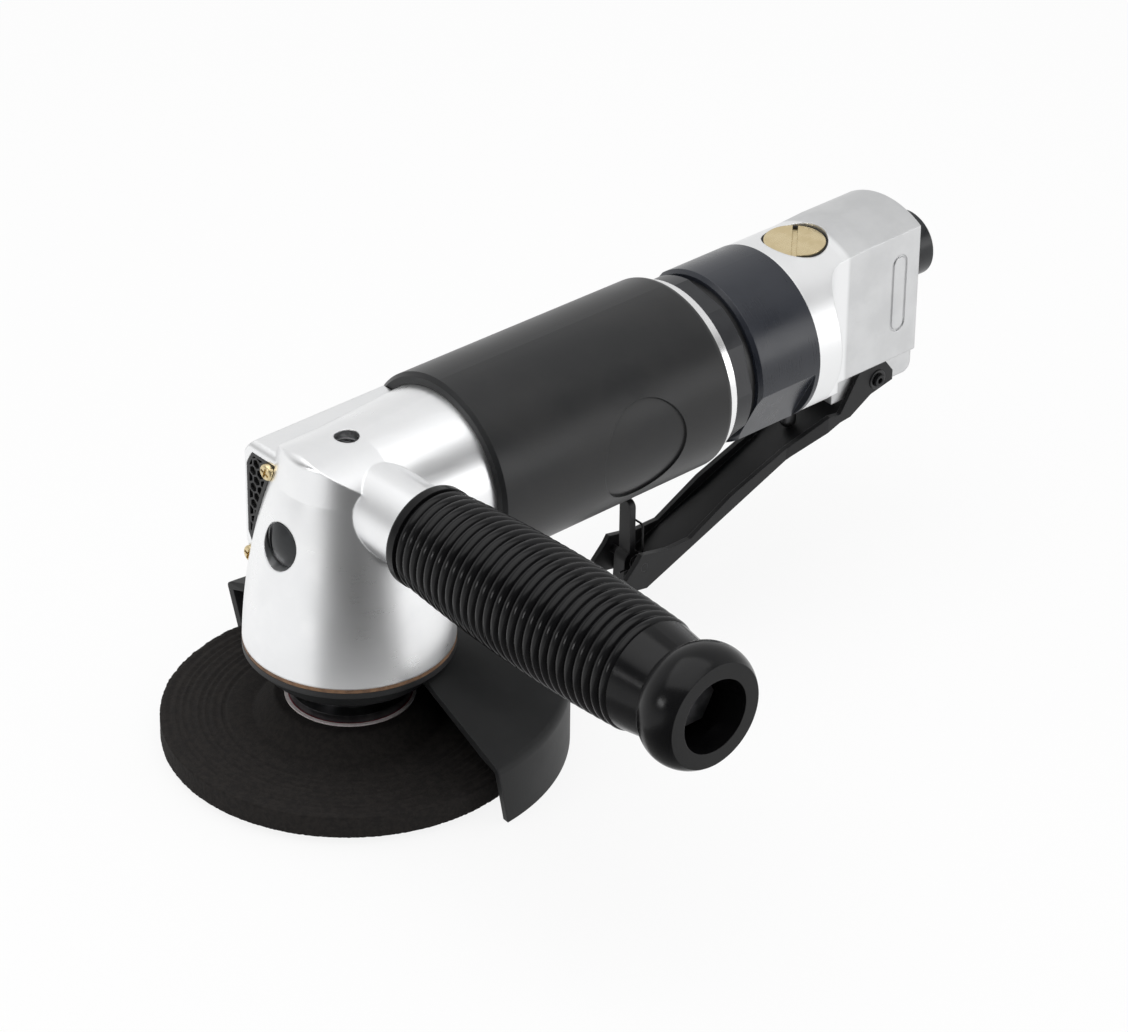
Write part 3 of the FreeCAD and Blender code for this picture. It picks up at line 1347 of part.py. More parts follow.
grinding_disc()
disc_clamping()
spindle_group()
rotor_group()
angle_head()
grille_group()
front_plug()
bearing_cap_group()
guard_group()
motor_group()
motor_housing()
motor_sleeve()
ring_group()
valve_housing()
valve_group()
lever_group()
catch_group()
side_handle()
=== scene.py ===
import math

import bpy
import bmesh
from mathutils import Matrix, Vector, noise


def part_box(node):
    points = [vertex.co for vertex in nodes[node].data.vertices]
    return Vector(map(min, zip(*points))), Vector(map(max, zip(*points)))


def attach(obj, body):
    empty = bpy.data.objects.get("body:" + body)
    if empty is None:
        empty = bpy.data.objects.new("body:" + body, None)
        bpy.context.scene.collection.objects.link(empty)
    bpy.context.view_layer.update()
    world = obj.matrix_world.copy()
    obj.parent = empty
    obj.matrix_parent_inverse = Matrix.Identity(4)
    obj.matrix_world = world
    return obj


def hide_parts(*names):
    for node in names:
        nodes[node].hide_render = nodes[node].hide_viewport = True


# Pneumatic angle grinder for 100 mm wheels: looks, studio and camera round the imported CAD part.
# Lengths in the dictionaries are in mm unless a note says otherwise.
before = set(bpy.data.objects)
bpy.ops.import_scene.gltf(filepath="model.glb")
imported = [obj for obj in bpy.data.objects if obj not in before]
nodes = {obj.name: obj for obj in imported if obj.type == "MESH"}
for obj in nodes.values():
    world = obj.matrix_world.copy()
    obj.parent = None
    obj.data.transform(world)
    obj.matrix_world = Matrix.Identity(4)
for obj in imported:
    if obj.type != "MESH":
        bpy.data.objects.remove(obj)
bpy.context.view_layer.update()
mm = 0.001
print("frame loaded,", len(nodes), "nodes")


# camera: fitted to the photograph's viewpoint
view = {
    "azimuth": -41.625,            # degrees round the spindle
    "elevation": 31.980,
    "roll": 0.693,
    "shiftRight": -56.31,          # the spindle's foot from the lens axis
    "shiftUp": -50.42,
    "distance": 1324.35,
    "lens": 160.16,
    "sensor": 36,
    "liftOfOrigin": 5.0,           # the fitted point is this far above the spindle's end
    "clip": (0.05, 100),           # metres
}


def placeCamera():
    a, e, r = (math.radians(view[k]) for k in ("azimuth", "elevation", "roll"))
    back = Vector((math.sin(a) * math.cos(e), -math.cos(a) * math.cos(e), math.sin(e)))
    flat = Vector((math.cos(a), math.sin(a), 0))
    upright = back.cross(flat)
    right = flat * math.cos(r) + upright * math.sin(r)
    up = upright * math.cos(r) - flat * math.sin(r)
    spot = right * -view["shiftRight"] + up * -view["shiftUp"] + back * view["distance"]
    spot = (spot + Vector((0, 0, view["liftOfOrigin"]))) * mm
    lensData = bpy.data.cameras.new("studioCamera")
    lensData.lens = view["lens"]
    lensData.sensor_width = view["sensor"]
    lensData.sensor_fit = "HORIZONTAL"
    lensData.clip_start, lensData.clip_end = view["clip"]
    camera = bpy.data.objects.new("studioCamera", lensData)
    bpy.context.scene.collection.objects.link(camera)
    turn = Matrix((right, up, back)).transposed().to_4x4()
    camera.matrix_world = Matrix.Translation(spot) @ turn
    bpy.context.scene.camera = camera


placeCamera()
print("camera placed")


# shader nodes, laid out on one tree
class Board:
    def __init__(self, tree):
        self.tree = tree
        tree.nodes.clear()

    def add(self, kind, values=None, **props):
        node = self.tree.nodes.new(kind)
        for key, value in props.items():
            setattr(node, key, value)
        for key, value in (values or {}).items():
            socket = node.inputs[key]
            if isinstance(value, bpy.types.NodeSocket):
                self.tree.links.new(value, socket)
            else:
                socket.default_value = value
        return node

    def calc(self, operation, a, b=0.0, c=None):
        values = {0: a, 1: b}
        if c is not None:
            values[2] = c
        return self.add("ShaderNodeMath", values, operation=operation).outputs[0]

    def spread(self, value, lowIn, highIn, lowOut=0.0, highOut=1.0, smooth=False):
        values = {0: value, 1: lowIn, 2: highIn, 3: lowOut, 4: highOut}
        kind = "SMOOTHSTEP" if smooth else "LINEAR"
        return self.add("ShaderNodeMapRange", values, interpolation_type=kind).outputs[0]

    def blend(self, share, one, two, kind="MIX"):
        node = self.add("ShaderNodeMix", {0: share}, data_type="RGBA", blend_type=kind)
        for index, value in ((6, one), (7, two)):
            if isinstance(value, bpy.types.NodeSocket):
                self.tree.links.new(value, node.inputs[index])
            else:
                node.inputs[index].default_value = (*value, 1)
        return node.outputs[2]

    def place(self):
        return self.add("ShaderNodeTexCoord").outputs["Object"]

    def speckle(self, place, size, detail, stretch=(1, 1, 1), rough=0.55):
        scaled = self.add("ShaderNodeMapping", {"Vector": place, "Scale": stretch}).outputs[0]
        values = {"Vector": scaled, "Scale": 1 / (size * mm), "Detail": detail, "Roughness": rough}
        return self.add("ShaderNodeTexNoise", values).outputs[0]

    def greyRamp(self, share, stops, interpolation="LINEAR"):
        ramp = self.add("ShaderNodeValToRGB", {0: share})
        ramp.color_ramp.interpolation = interpolation
        elements = ramp.color_ramp.elements
        for element, (position, level) in zip(list(elements), (stops[0], stops[-1])):
            element.position = position
            element.color = (level, level, level, 1)
        for position, level in stops[1:-1]:
            elements.new(position).color = (level, level, level, 1)
        return ramp.outputs[0]


# what a finish has where its own dictionary says nothing
commonFinish = {
    "metal": 0.0, "gloss": 0.5, "sheen": 0.0, "sheenRough": 0.5,
    "patchDetail": 4, "patchRange": (0.35, 0.65), "roughRange": (0.3, 0.7),
    "grainDetail": 2, "streaks": (), "streakDetail": 3, "streakRough": 0.7,
    "bevelSamples": 4, "wornGrain": 0.06, "wornRange": (0.97, 0.88),
}


def layFinish(name, own):
    finish = {**commonFinish, **own}
    material = bpy.data.materials.new(name)
    material.use_nodes = True
    board = Board(material.node_tree)
    place = board.place()
    # two shades in soft patches, the roughness going with them
    patches = board.speckle(place, finish["patchSize"], finish["patchDetail"])
    patchShare = board.spread(patches, *finish["patchRange"], smooth=True)
    colour = board.blend(patchShare, finish["colour"], finish["colourTwo"])
    rough = board.spread(patches, *finish["roughRange"], *finish["rough"])
    # fine grain, and streaks where the part is brushed or turned
    fine = board.speckle(place, finish["grainSize"], finish["grainDetail"])
    height = board.calc("MULTIPLY", fine, finish["grainDepth"] * mm)
    for stretch, depth, share in finish["streaks"]:
        line = board.speckle(place, 1.0, finish["streakDetail"], stretch, finish["streakRough"])
        height = board.calc("MULTIPLY_ADD", line, depth * mm, height)
        rough = board.calc("MULTIPLY_ADD", board.calc("SUBTRACT", line, 0.5), share, rough)
    bevel = {"Radius": finish["edge"] * mm}
    softNormal = board.add("ShaderNodeBevel", bevel, samples=finish["bevelSamples"]).outputs[0]
    bump = board.add("ShaderNodeBump", {"Height": height, "Distance": 1.0, "Strength": 1.0,
                                        "Normal": softNormal})
    # paler where an edge has rubbed
    if "worn" in finish:
        trueNormal = board.add("ShaderNodeNewGeometry").outputs["Normal"]
        wide = {"Radius": finish["wornWidth"] * mm}
        edgeNormal = board.add("ShaderNodeBevel", wide, samples=finish["bevelSamples"]).outputs[0]
        same = board.add("ShaderNodeVectorMath", {0: trueNormal, 1: edgeNormal},
                         operation="DOT_PRODUCT").outputs[1]
        grainy = board.calc("ADD", same, board.calc("MULTIPLY", fine, finish["wornGrain"]))
        colour = board.blend(board.spread(grainy, *finish["wornRange"]), colour, finish["worn"])
    shader = board.add("ShaderNodeBsdfPrincipled", {
        "Base Color": colour, "Roughness": rough, "Normal": bump.outputs[0],
        "Metallic": finish["metal"], "Specular IOR Level": finish["gloss"],
        "Sheen Weight": finish["sheen"], "Sheen Roughness": finish["sheenRough"]})
    board.add("ShaderNodeOutputMaterial", {"Surface": shader.outputs[0]})
    return material, board, shader, colour


def finishMaterial(name, own):
    return layFinish(name, own)[0]


def recolour(board, shader, colour):
    board.tree.links.new(colour, shader.inputs["Base Color"])


def dress(names, material):
    for name in names.split():
        mesh = nodes[name].data
        mesh.materials.clear()
        mesh.materials.append(material)
        mesh.polygons.foreach_set("material_index", [0] * len(mesh.polygons))


# bright castings
headCasting = {
    "colour": (0.95, 0.955, 0.96), "colourTwo": (0.91, 0.917, 0.925), "patchSize": 14,
    "metal": 1.0, "rough": (0.27, 0.36), "grainSize": 0.35, "grainDepth": 0.005, "edge": 0.6,
    "streaks": [((0.05, 0.05, 2.6), 0.0035, 0.10)],
}
tailCasting = {
    "colour": (0.69, 0.695, 0.70), "colourTwo": (0.64, 0.645, 0.65), "patchSize": 11,
    "metal": 1.0, "rough": (0.38, 0.48), "grainSize": 0.28, "grainDepth": 0.012, "edge": 0.6,
}
tailZones = {
    "roundColour": (0.90, 0.905, 0.91),      # the machined round part behind the collar
    "roundLength": 21.0, "blend": 0.6,
}
silverRing = {
    "colour": (0.94, 0.94, 0.94), "colourTwo": (0.88, 0.88, 0.89), "patchSize": 6,
    "metal": 1.0, "rough": (0.18, 0.28), "grainSize": 0.3, "grainDepth": 0.003, "edge": 0.25,
    "streaks": [((3.0, 0.06, 0.06), 0.003, 0.08)],
}


def tailMaterial():
    material, board, shader, colour = layFinish("blastedTailCasting", tailCasting)
    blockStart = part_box("clamp_collar")[1][0] + tailZones["roundLength"] * mm
    half = tailZones["blend"] * mm
    x = board.add("ShaderNodeSeparateXYZ", {0: board.place()}).outputs[0]
    share = board.spread(x, blockStart - half, blockStart + half)
    recolour(board, shader, board.blend(share, tailZones["roundColour"], colour))
    return material


dress("angle_head", finishMaterial("brushedHeadCasting", headCasting))
dress("valve_housing", tailMaterial())
dress("motor_housing", finishMaterial("turnedHousing", silverRing))
print("castings dressed")


# black parts
sleeveFinish = {
    "colour": (0.015, 0.0155, 0.0165), "colourTwo": (0.020, 0.020, 0.0205), "patchSize": 20,
    "gloss": 0.30, "rough": (0.34, 0.42), "grainSize": 0.45, "grainDepth": 0.014, "edge": 0.3,
    "sheen": 0.06,
}
collarFinish = {
    "colour": (0.014, 0.017, 0.025), "colourTwo": (0.019, 0.022, 0.031), "patchSize": 12,
    "gloss": 0.5, "rough": (0.24, 0.34), "grainSize": 0.3, "grainDepth": 0.004, "edge": 0.3,
    "streaks": [((3.2, 0.05, 0.05), 0.004, 0.10)],
    "worn": (0.10, 0.11, 0.13), "wornWidth": 0.25,
}
ringFinish = {
    "colour": (0.012, 0.013, 0.016), "colourTwo": (0.017, 0.018, 0.022), "patchSize": 8,
    "gloss": 0.5, "rough": (0.30, 0.40), "grainSize": 0.3, "grainDepth": 0.005, "edge": 0.25,
    "streaks": [((3.2, 0.05, 0.05), 0.004, 0.08)],
    "worn": (0.08, 0.085, 0.10), "wornWidth": 0.2,
}
leverFinish = {
    "colour": (0.007, 0.007, 0.0078), "colourTwo": (0.012, 0.012, 0.013), "patchSize": 7,
    "gloss": 0.32, "rough": (0.34, 0.46), "grainSize": 0.4, "grainDepth": 0.010, "edge": 0.35,
    "worn": (0.07, 0.07, 0.075), "wornWidth": 0.22,
}
guardFinish = {
    "colour": (0.011, 0.0115, 0.012), "colourTwo": (0.016, 0.0165, 0.017), "patchSize": 16,
    "gloss": 0.25, "rough": (0.44, 0.54), "grainSize": 0.6, "grainDepth": 0.015, "edge": 0.5,
    "worn": (0.06, 0.06, 0.065), "wornWidth": 0.3,
}
gripFinish = {
    "colour": (0.004, 0.004, 0.0045), "colourTwo": (0.006, 0.006, 0.0065), "patchSize": 10,
    "gloss": 0.21, "rough": (0.16, 0.23), "grainSize": 0.8, "grainDepth": 0.010, "edge": 0.25,
}
plugFinish = {
    "colour": (0.012, 0.013, 0.015), "colourTwo": (0.018, 0.020, 0.022), "patchSize": 4,
    "gloss": 0.4, "rough": (0.26, 0.36), "grainSize": 0.3, "grainDepth": 0.004, "edge": 0.25,
    "worn": (0.12, 0.12, 0.125), "wornWidth": 0.2,
}
capFinish = {
    "colour": (0.010, 0.010, 0.011), "colourTwo": (0.016, 0.016, 0.017), "patchSize": 5,
    "gloss": 0.5, "rough": (0.36, 0.46), "grainSize": 0.35, "grainDepth": 0.008, "edge": 0.25,
}
dress("motor_sleeve", finishMaterial("mouldedSleeve", sleeveFinish))
dress("clamp_collar", finishMaterial("bluedCollarSteel", collarFinish))
dress("lock_ring", finishMaterial("bluedRingSteel", ringFinish))
dress("lever lock_catch lever_pin catch_pin catch_spring",
      finishMaterial("blackedLeverSteel", leverFinish))
dress("guard", finishMaterial("paintedGuard", guardFinish))
dress("handle_grip", finishMaterial("glossyGripRubber", gripFinish))
dress("front_plug inlet_bushing guard_clamp_screw",
      finishMaterial("blackedPlugSteel", plugFinish))
dress("bearing_cap rear_gasket exhaust_grille", finishMaterial("darkCapFinish", capFinish))
print("black parts dressed")


# brass, copper, steel and the soft inner parts
brassFinish = {
    "colour": (0.78, 0.65, 0.40), "colourTwo": (0.70, 0.57, 0.33), "patchSize": 4,
    "metal": 1.0, "rough": (0.24, 0.34), "grainSize": 0.3, "grainDepth": 0.004, "edge": 0.3,
    "streaks": [((0.06, 2.4, 0.06), 0.003, 0.10)],
}
gasketFinish = {
    "colour": (0.25, 0.14, 0.075), "colourTwo": (0.15, 0.085, 0.05), "patchSize": 3,
    "gloss": 0.4, "rough": (0.45, 0.65), "grainSize": 0.3, "grainDepth": 0.012, "edge": 0.15,
}
steelFinish = {
    "colour": (0.56, 0.57, 0.58), "colourTwo": (0.50, 0.50, 0.51), "patchSize": 4,
    "metal": 1.0, "rough": (0.22, 0.32), "grainSize": 0.25, "grainDepth": 0.003, "edge": 0.2,
}
darkSteelFinish = {
    "colour": (0.10, 0.10, 0.105), "colourTwo": (0.16, 0.16, 0.165), "patchSize": 5,
    "metal": 1.0, "rough": (0.30, 0.42), "grainSize": 0.3, "grainDepth": 0.005, "edge": 0.2,
}
feltFinish = {
    "colour": (0.12, 0.115, 0.105), "colourTwo": (0.08, 0.078, 0.07), "patchSize": 1.5,
    "gloss": 0.1, "rough": (0.85, 0.95), "grainSize": 0.25, "grainDepth": 0.06, "edge": 0.2,
    "sheen": 0.3,
}
fibreFinish = {
    "colour": (0.16, 0.09, 0.04), "colourTwo": (0.11, 0.06, 0.03), "patchSize": 3,
    "gloss": 0.4, "rough": (0.45, 0.6), "grainSize": 0.4, "grainDepth": 0.01, "edge": 0.2,
    "streaks": [((0.1, 2.0, 2.0), 0.01, 0.10)],
}
sealFinish = {
    "colour": (0.008, 0.008, 0.008), "colourTwo": (0.012, 0.012, 0.012), "patchSize": 2,
    "gloss": 0.4, "rough": (0.5, 0.6), "grainSize": 0.3, "grainDepth": 0.006, "edge": 0.2,
}
dress("valve_plug grille_screws", finishMaterial("paleBrass", brassFinish))
dress("bell_gasket", finishMaterial("copperGasket", gasketFinish))
dress("""spindle spindle_bearing_outer_race spindle_bearing_inner_race spindle_bearing_balls
      needle_bush front_bearing_outer_race front_bearing_inner_race front_bearing_balls
      rear_bearing_outer_race rear_bearing_inner_race rear_bearing_balls rotor pinion
      bevel_gear gear_key cap_screws inlet_screen valve_spring""",
      finishMaterial("groundSteel", steelFinish))
dress("""inner_flange flange_nut bearing_circlip gear_ring front_end_plate rear_end_plate
      cylinder_liner handle_bolt throttle_valve""", finishMaterial("darkSteel", darkSteelFinish))
dress("spindle_seal silencer_pad", finishMaterial("pressedFelt", feltFinish))
dress("vanes", finishMaterial("fibreVanes", fibreFinish))
dress("valve_plug_seal valve_seat", finishMaterial("sealRubber", sealFinish))
print("small parts dressed")


# paper label on the wheel: a pale ring with a dark red line inside
labelPaper = {
    "colour": (0.95, 0.88, 0.88), "colourTwo": (0.84, 0.76, 0.76), "patchSize": 1.2,
    "gloss": 0.3, "rough": (0.6, 0.75), "grainSize": 0.2, "grainDepth": 0.01, "edge": 0.1,
}
labelPrint = {"red": (0.22, 0.008, 0.016), "paleFrom": 16.5, "blend": 0.1}


def labelMaterial():
    material, board, shader, paper = layFinish("wheelLabel", labelPaper)
    parts = board.add("ShaderNodeSeparateXYZ", {0: board.place()})
    x, y = parts.outputs[0], parts.outputs[1]
    squares = board.calc("ADD", board.calc("MULTIPLY", x, x), board.calc("MULTIPLY", y, y))
    radius = board.calc("SQRT", squares)
    edge, half = labelPrint["paleFrom"], labelPrint["blend"]
    pale = board.spread(radius, (edge - half) * mm, (edge + half) * mm)
    recolour(board, shader, board.blend(pale, labelPrint["red"], paper))
    return material


dress("disc_label", labelMaterial())
print("label dressed")


# pieces made here and the CAD boxes they are placed by
def boxOf(name):
    low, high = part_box(name)
    return low / mm, high / mm


def joinRings(mesh, rings, closed=True):
    for one, two in zip(rings, rings[1:] + rings[:1] if closed else rings[1:]):
        for k in range(len(one)):
            n = (k + 1) % len(one)
            mesh.faces.new((one[k], one[n], two[n], two[k]))


def addPiece(name, mesh, finish, body):
    bmesh.ops.recalc_face_normals(mesh, faces=mesh.faces)
    data = bpy.data.meshes.new(name)
    mesh.to_mesh(data)
    mesh.free()
    for polygon in data.polygons:
        polygon.use_smooth = True
    piece = bpy.data.objects.new(name, data)
    bpy.context.scene.collection.objects.link(piece)
    data.materials.append(finish)
    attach(piece, body)
    return piece


# the wheel: moulded rings on its upper face and a torn, grainy rim
wheelShape = {
    "radius": 50.38, "face": -1.4, "top": 5.0, "hubTop": 10.6, "hubRadius": 20.0,
    "coneRadius": 25.5, "bore": 8.0, "hubBottom": 4.2,
    "step": 0.6, "spokes": 900, "touch": 0.01, "rimTouch": 0.05,
    "ringCount": 8, "ringFirst": 33.4, "ringPitch": 2.04, "ringDepth": 0.5, "ringSharpness": 1.5,
    "fineScale": 1.35, "coarseScale": 0.5, "coarseShift": (7, 3, 1),
    "faceGrain": 0.10, "rimGrain": 0.30, "rimFine": 0.65, "rimFineGain": 1.6,
    "edgeWear": 1.2, "edgeWearDepth": 0.5,
}
wheelLook = {
    "colour": (0.013, 0.0115, 0.011), "colourTwo": (0.022, 0.0195, 0.018), "patchSize": 1.4,
    "gloss": 0.2, "rough": (0.80, 0.95), "grainSize": 0.55, "grainDetail": 3,
    "grainDepth": 0.16, "edge": 0.15,
}


def wheelProfile():
    w = wheelShape
    top = [(w["bore"], w["hubTop"]), (w["hubRadius"], w["hubTop"]), (w["coneRadius"], w["top"])]
    side = [(w["radius"], w["top"]), (w["radius"], w["face"])]
    under = [(w["coneRadius"] + w["ringDepth"], w["face"]),
             (w["hubRadius"] + w["ringDepth"], w["hubBottom"]), (w["bore"], w["hubBottom"])]
    corners = top + side + under + [top[0]]
    profile = []
    for (r1, z1), (r2, z2) in zip(corners, corners[1:]):
        count = max(1, int(math.hypot(r2 - r1, z2 - z1) / w["step"]))
        for i in range(count):
            share = i / count
            profile.append((r1 + (r2 - r1) * share, z1 + (z2 - z1) * share))
    return profile


def wornSpot(r, z, angle):
    w = wheelShape
    x, y = r * math.cos(angle), r * math.sin(angle)
    spot = Vector((x, y, z))
    fine = 0.5 + 0.5 * noise.noise(spot * w["fineScale"])
    coarse = 0.5 + 0.5 * noise.noise(spot * w["coarseScale"] + Vector(w["coarseShift"]))
    dr = dz = 0.0
    if r > w["radius"] - w["rimTouch"]:
        torn = w["rimFine"] * fine * fine * w["rimFineGain"] + (1 - w["rimFine"]) * coarse
        dr = -w["rimGrain"] * torn
    if z > w["top"] - w["touch"] and r > w["coneRadius"]:
        wave = (r - w["ringFirst"]) / w["ringPitch"]
        if -0.5 < wave < w["ringCount"] - 0.5:
            crest = max(0.0, math.cos(2 * math.pi * (wave - round(wave))))
            dz -= w["ringDepth"] * crest ** w["ringSharpness"]
        dz -= w["faceGrain"] * fine
        edge = max(0.0, (r - w["radius"] + w["edgeWear"]) / w["edgeWear"])
        dz -= edge * edge * w["edgeWearDepth"] * coarse
    elif r > w["coneRadius"] and z < w["face"] + w["touch"]:
        dz += w["faceGrain"] * fine
    share = (r + dr) / r
    return x * share * mm, y * share * mm, (z + dz) * mm


def makeWheel():
    mesh = bmesh.new()
    spokes = wheelShape["spokes"]
    angles = [2 * math.pi * k / spokes for k in range(spokes)]
    rings = [[mesh.verts.new(wornSpot(r, z, a)) for a in angles] for r, z in wheelProfile()]
    joinRings(mesh, rings)
    grit = finishMaterial("resinGrit", wheelLook)
    wheel = addPiece("grindingWheel", mesh, grit, "spindle")
    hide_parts("grinding_disc")
    dress("grinding_disc", grit)


makeWheel()
print("wheel made")


# screw threads inside the air inlet and the upper handle hole
threads = {
    "inletThread": {"radius": 5.68, "crest": 5.22, "pitch": 1.34, "turns": 7.5, "depth": 1.4,
                    "finish": "blackedPlugSteel", "slot": "black_steel"},
    # the top hole's thread is cut in the cast aluminium but takes the dark steel finish: painted
    # shade inside the hole
    "topHoleThread": {"radius": 3.33, "crest": 3.02, "pitch": 1.0, "turns": 5.0,
                      "aboveBush": 7.3, "finish": "darkSteel", "slot": "cast_aluminium"},
}
threadCut = {"segments": 48, "fade": 12, "foot": 0.46, "tip": 0.06}     # foot, tip: of the pitch


def makeThread(name, start, axis, side):
    t = threads[name]
    c = threadCut
    other = axis.cross(side)
    mesh = bmesh.new()
    steps = int(t["turns"] * c["segments"])
    rows = []
    for i in range(steps + 1):
        a = 2 * math.pi * i / c["segments"]
        out = side * math.cos(a) + other * math.sin(a)
        fade = min(1.0, i / c["fade"], (steps - i) / c["fade"])
        crest = t["radius"] + (t["crest"] - t["radius"]) * fade
        along = t["pitch"] * i / c["segments"]
        section = [(t["radius"], -c["foot"]), (crest, -c["tip"]), (crest, c["tip"]),
                   (t["radius"], c["foot"])]
        spots = [start + out * r + axis * (along + t["pitch"] * w) for r, w in section]
        rows.append([mesh.verts.new(spot * mm) for spot in spots])
    joinRings(mesh, rows, closed=False)
    mesh.faces.new(rows[0])
    mesh.faces.new(rows[-1][::-1])
    addPiece(name, mesh, bpy.data.materials[t["finish"]], "body")


def makeThreads():
    low, high = boxOf("inlet_bushing")
    mouth = Vector((high.x - threads["inletThread"]["depth"], 0, (low.z + high.z) / 2))
    makeThread("inletThread", mouth, Vector((-1, 0, 0)), Vector((0, 1, 0)))
    bushTop = boxOf("needle_bush")[1].z
    top = Vector((0, 0, bushTop + threads["topHoleThread"]["aboveBush"]))
    makeThread("topHoleThread", top, Vector((0, 0, -1)), Vector((1, 0, 0)))


makeThreads()
print("threads cut")


# dished washers round the ends of the lever's pin, near black: painted shade standing for the
# shadowed countersink round the pin
pinShadeWasher = {
    "radius": 2.9, "bore": 1.75, "height": 0.42, "dish": 0.16, "crown": 0.35, "round": 0.1,
    "roundDrop": 0.06, "rim": 0.2, "gap": 0.02, "spokes": 48,
    "ear": 10.1,                   # the ear's outer face from the middle
}


def makePinShadeWashers():
    w = pinShadeWasher
    low, high = boxOf("lever_pin")
    middle = (low + high) / 2
    profile = [(w["bore"], w["dish"]), (w["radius"] - w["crown"], w["height"]),
               (w["radius"] - w["round"], w["height"] - w["roundDrop"]),
               (w["radius"], w["height"] - w["rim"]), (w["radius"], w["gap"]),
               (w["bore"], w["gap"])]
    for name, side in (("nearPinShadeWasher", -1), ("farPinShadeWasher", 1)):
        mesh = bmesh.new()
        rings = []
        for r, h in profile:
            ring = []
            for k in range(w["spokes"]):
                a = 2 * math.pi * k / w["spokes"]
                spot = Vector((middle.x + r * math.cos(a), side * (w["ear"] + h),
                               middle.z + r * math.sin(a)))
                ring.append(mesh.verts.new(spot * mm))
            rings.append(ring)
        joinRings(mesh, rings)
        # the near-black finish here is painted shade of the countersink round the pin
        addPiece(name, mesh, bpy.data.materials["darkCapFinish"], "lever")


makePinShadeWashers()
print("pin washers made")


# floor: white to the eye and half mirrored as white, with the object's shadow on it
floor = {
    "height": -3.55,
    "size": 20.0,                  # metres
    "colour": (0.90, 0.90, 0.90, 1), "whiteShare": 0.88, "mirrorShare": 0.66,
}


def makeFloor():
    size = floor["size"]
    z = floor["height"] * mm
    data = bpy.data.meshes.new("paleFloor")
    corners = [(-size, -size, z), (size, -size, z), (size, size, z), (-size, size, z)]
    data.from_pydata(corners, [], [(0, 1, 2, 3)])
    plane = bpy.data.objects.new("paleFloor", data)
    bpy.context.scene.collection.objects.link(plane)
    material = bpy.data.materials.new("paleFloor")
    material.use_nodes = True
    board = Board(material.node_tree)
    path = board.add("ShaderNodeLightPath")
    seen = board.calc("MULTIPLY", path.outputs["Is Camera Ray"], floor["whiteShare"])
    mirrored = board.calc("MULTIPLY", path.outputs["Is Glossy Ray"], floor["mirrorShare"])
    share = board.calc("MAXIMUM", seen, mirrored)
    matt = board.add("ShaderNodeBsdfDiffuse", {"Color": floor["colour"]})
    glow = board.add("ShaderNodeEmission", {"Color": (1, 1, 1, 1), "Strength": 1.0})
    both = board.add("ShaderNodeMixShader", {0: share, 1: matt.outputs[0], 2: glow.outputs[0]})
    board.add("ShaderNodeOutputMaterial", {"Surface": both.outputs[0]})
    data.materials.append(material)


# the room's grey by height, one ramp for its near side and one for the far side
room = {
    "nearSide": (-0.664, -0.748),
    "blend": 0.35,
    "poleGuard": 0.01,             # keeps the division safe straight up
    "nearStops": [(0.0, 0.80), (0.09, 0.50), (0.16, 0.18), (0.35, 0.08), (0.60, 0.11),
                  (0.85, 0.38), (1.0, 0.60)],
    "farStops": [(0.0, 0.85), (0.15, 0.80), (0.40, 0.76), (0.65, 0.80), (0.85, 0.70),
                 (1.0, 0.60)],
}


def makeWorld():
    world = bpy.data.worlds.new("studioSky")
    bpy.context.scene.world = world
    world.use_nodes = True
    board = Board(world.node_tree)
    way = board.add("ShaderNodeTexCoord").outputs["Generated"]
    parts = board.add("ShaderNodeSeparateXYZ", {0: way})
    x, y, height = parts.outputs[0], parts.outputs[1], parts.outputs[2]
    far = board.greyRamp(height, room["farStops"])
    near = board.greyRamp(height, room["nearStops"])
    nearX, nearY = room["nearSide"]
    along = board.calc("MULTIPLY_ADD", x, nearX, board.calc("MULTIPLY", y, nearY))
    flat = board.calc("SQRT", board.calc("SUBTRACT", 1.0, board.calc("MULTIPLY", height, height)))
    side = board.calc("DIVIDE", along, board.calc("ADD", flat, room["poleGuard"]))
    nearShare = board.spread(side, -room["blend"], room["blend"], smooth=True)
    grey = board.blend(nearShare, far, near)
    sky = board.add("ShaderNodeBackground", {"Color": grey, "Strength": 1.0})
    board.add("ShaderNodeOutputWorld", {"Surface": sky.outputs[0]})


# lamps, in metres and watts
lampAim = (0.06, -0.02, 0.05)
lamps = {
    "overheadBox": {"from": (-0.15, -0.10, 1.10), "size": (1.5, 1.3), "watts": 8.5},
    "leftBox": {"from": (-0.92, 0.06, 0.38), "size": (0.34, 0.14), "watts": 1.1},
    "rightBox": {"from": (0.75, -0.95, 0.30), "size": (0.60, 0.50), "watts": 2.2},
}


def makeLamps():
    for name, lamp in lamps.items():
        data = bpy.data.lights.new(name, "AREA")
        data.shape = "RECTANGLE"
        data.size, data.size_y = lamp["size"]
        data.energy = lamp["watts"]
        holder = bpy.data.objects.new(name, data)
        spot = Vector(lamp["from"])
        aim = (Vector(lampAim) - spot).to_track_quat("-Z", "Y")
        holder.matrix_world = Matrix.Translation(spot) @ aim.to_matrix().to_4x4()
        bpy.context.scene.collection.objects.link(holder)


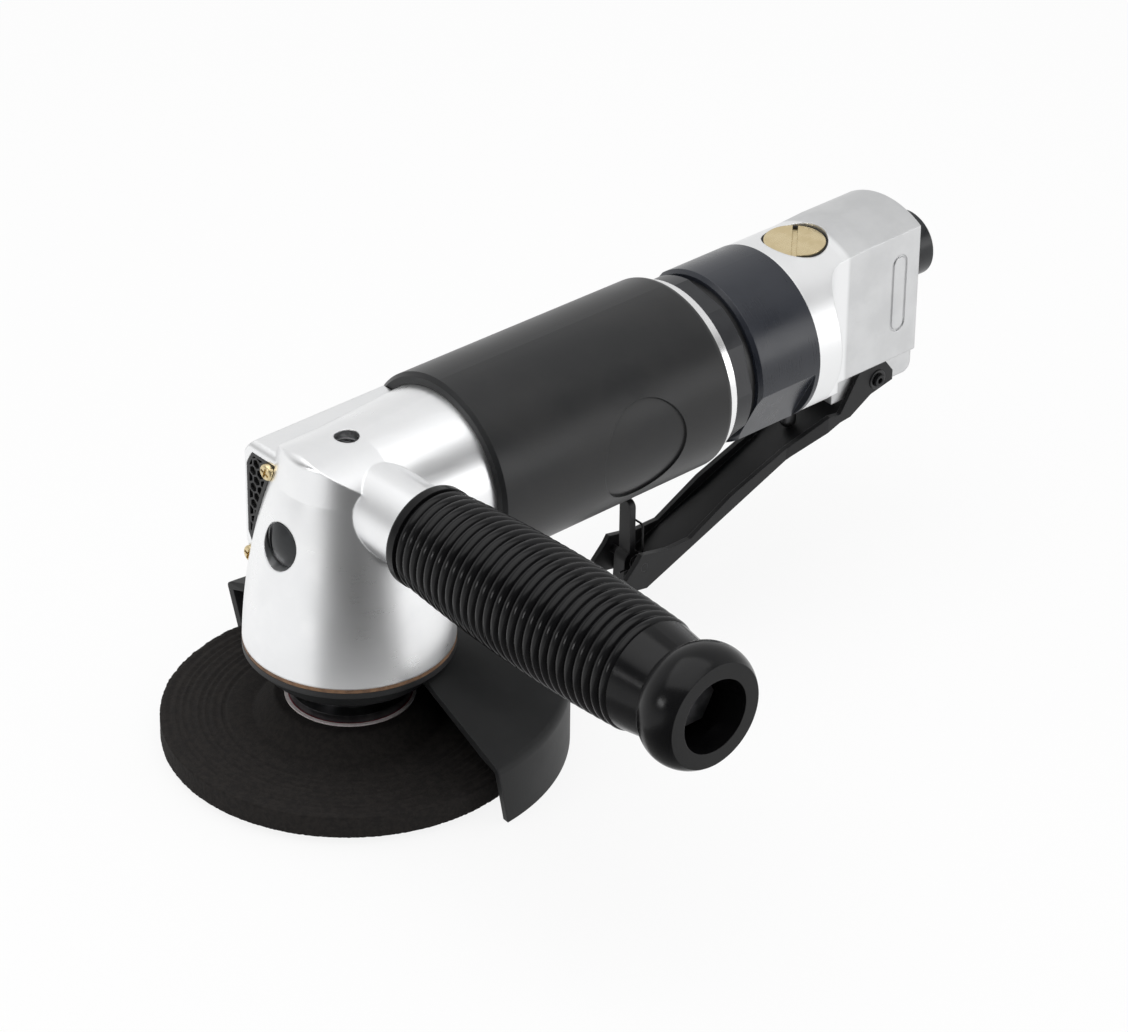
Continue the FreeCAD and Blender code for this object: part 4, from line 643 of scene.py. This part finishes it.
# dark fan of cloth on the floor, seen only in reflections: it draws the soft band on the bell
darkFlag = {
    "radii": (0.075, 0.19, 0.60), "wall": 0.17,       # metres
    "height": -3.2,
    "from": -72.0, "to": 16.0, "steps": 16,           # degrees round the spindle
    "root": 0.34,                                     # paler near the wheel
    "shades": [(0.0, 0.70), (0.12, 0.32), (0.25, 0.17), (0.50, 0.12), (0.74, 0.21),
               (0.88, 0.45), (1.0, 0.85)],
}


def makeFlag():
    f = darkFlag
    low = f["height"] * mm
    row = len(f["radii"]) + 1      # points in one row, the last up on the wall
    spots, faces = [], []
    for i in range(f["steps"] + 1):
        a = math.radians(f["from"] + (f["to"] - f["from"]) * i / f["steps"])
        out = Vector((math.sin(a), -math.cos(a), 0))
        spots += [out * radius + Vector((0, 0, low)) for radius in f["radii"]]
        spots.append(out * f["radii"][-1] + Vector((0, 0, f["wall"])))
    for i in range(f["steps"]):
        for k in range(row * i, row * i + row - 1):
            faces.append((k, k + 1, k + row + 1, k + row))
    data = bpy.data.meshes.new("darkFlag")
    data.from_pydata(spots, [], faces)
    share = data.attributes.new("share", "FLOAT", "POINT")
    share.data.foreach_set("value", [i // row / f["steps"] for i in range(len(spots))])
    reach = data.attributes.new("reach", "FLOAT", "POINT")
    reach.data.foreach_set("value", [min(i % row, 1) for i in range(len(spots))])
    flag = bpy.data.objects.new("darkFlag", data)
    bpy.context.scene.collection.objects.link(flag)
    material = bpy.data.materials.new("flagCloth")
    material.use_nodes = True
    board = Board(material.node_tree)
    across = board.add("ShaderNodeAttribute", attribute_name="share").outputs["Fac"]
    outward = board.add("ShaderNodeAttribute", attribute_name="reach").outputs["Fac"]
    shades = board.greyRamp(across, f["shades"], "EASE")
    paler = board.blend(1.0, shades, (f["root"],) * 3, "LIGHTEN")
    shade = board.blend(outward, paler, shades)
    cloth = board.add("ShaderNodeEmission", {"Color": shade, "Strength": 1.0})
    board.add("ShaderNodeOutputMaterial", {"Surface": cloth.outputs[0]})
    data.materials.append(material)
    flag.visible_camera = False
    flag.visible_diffuse = False
    flag.visible_shadow = False


makeFloor()
makeWorld()
makeLamps()
makeFlag()
bpy.context.scene.view_settings.view_transform = "Standard"
print("studio set")
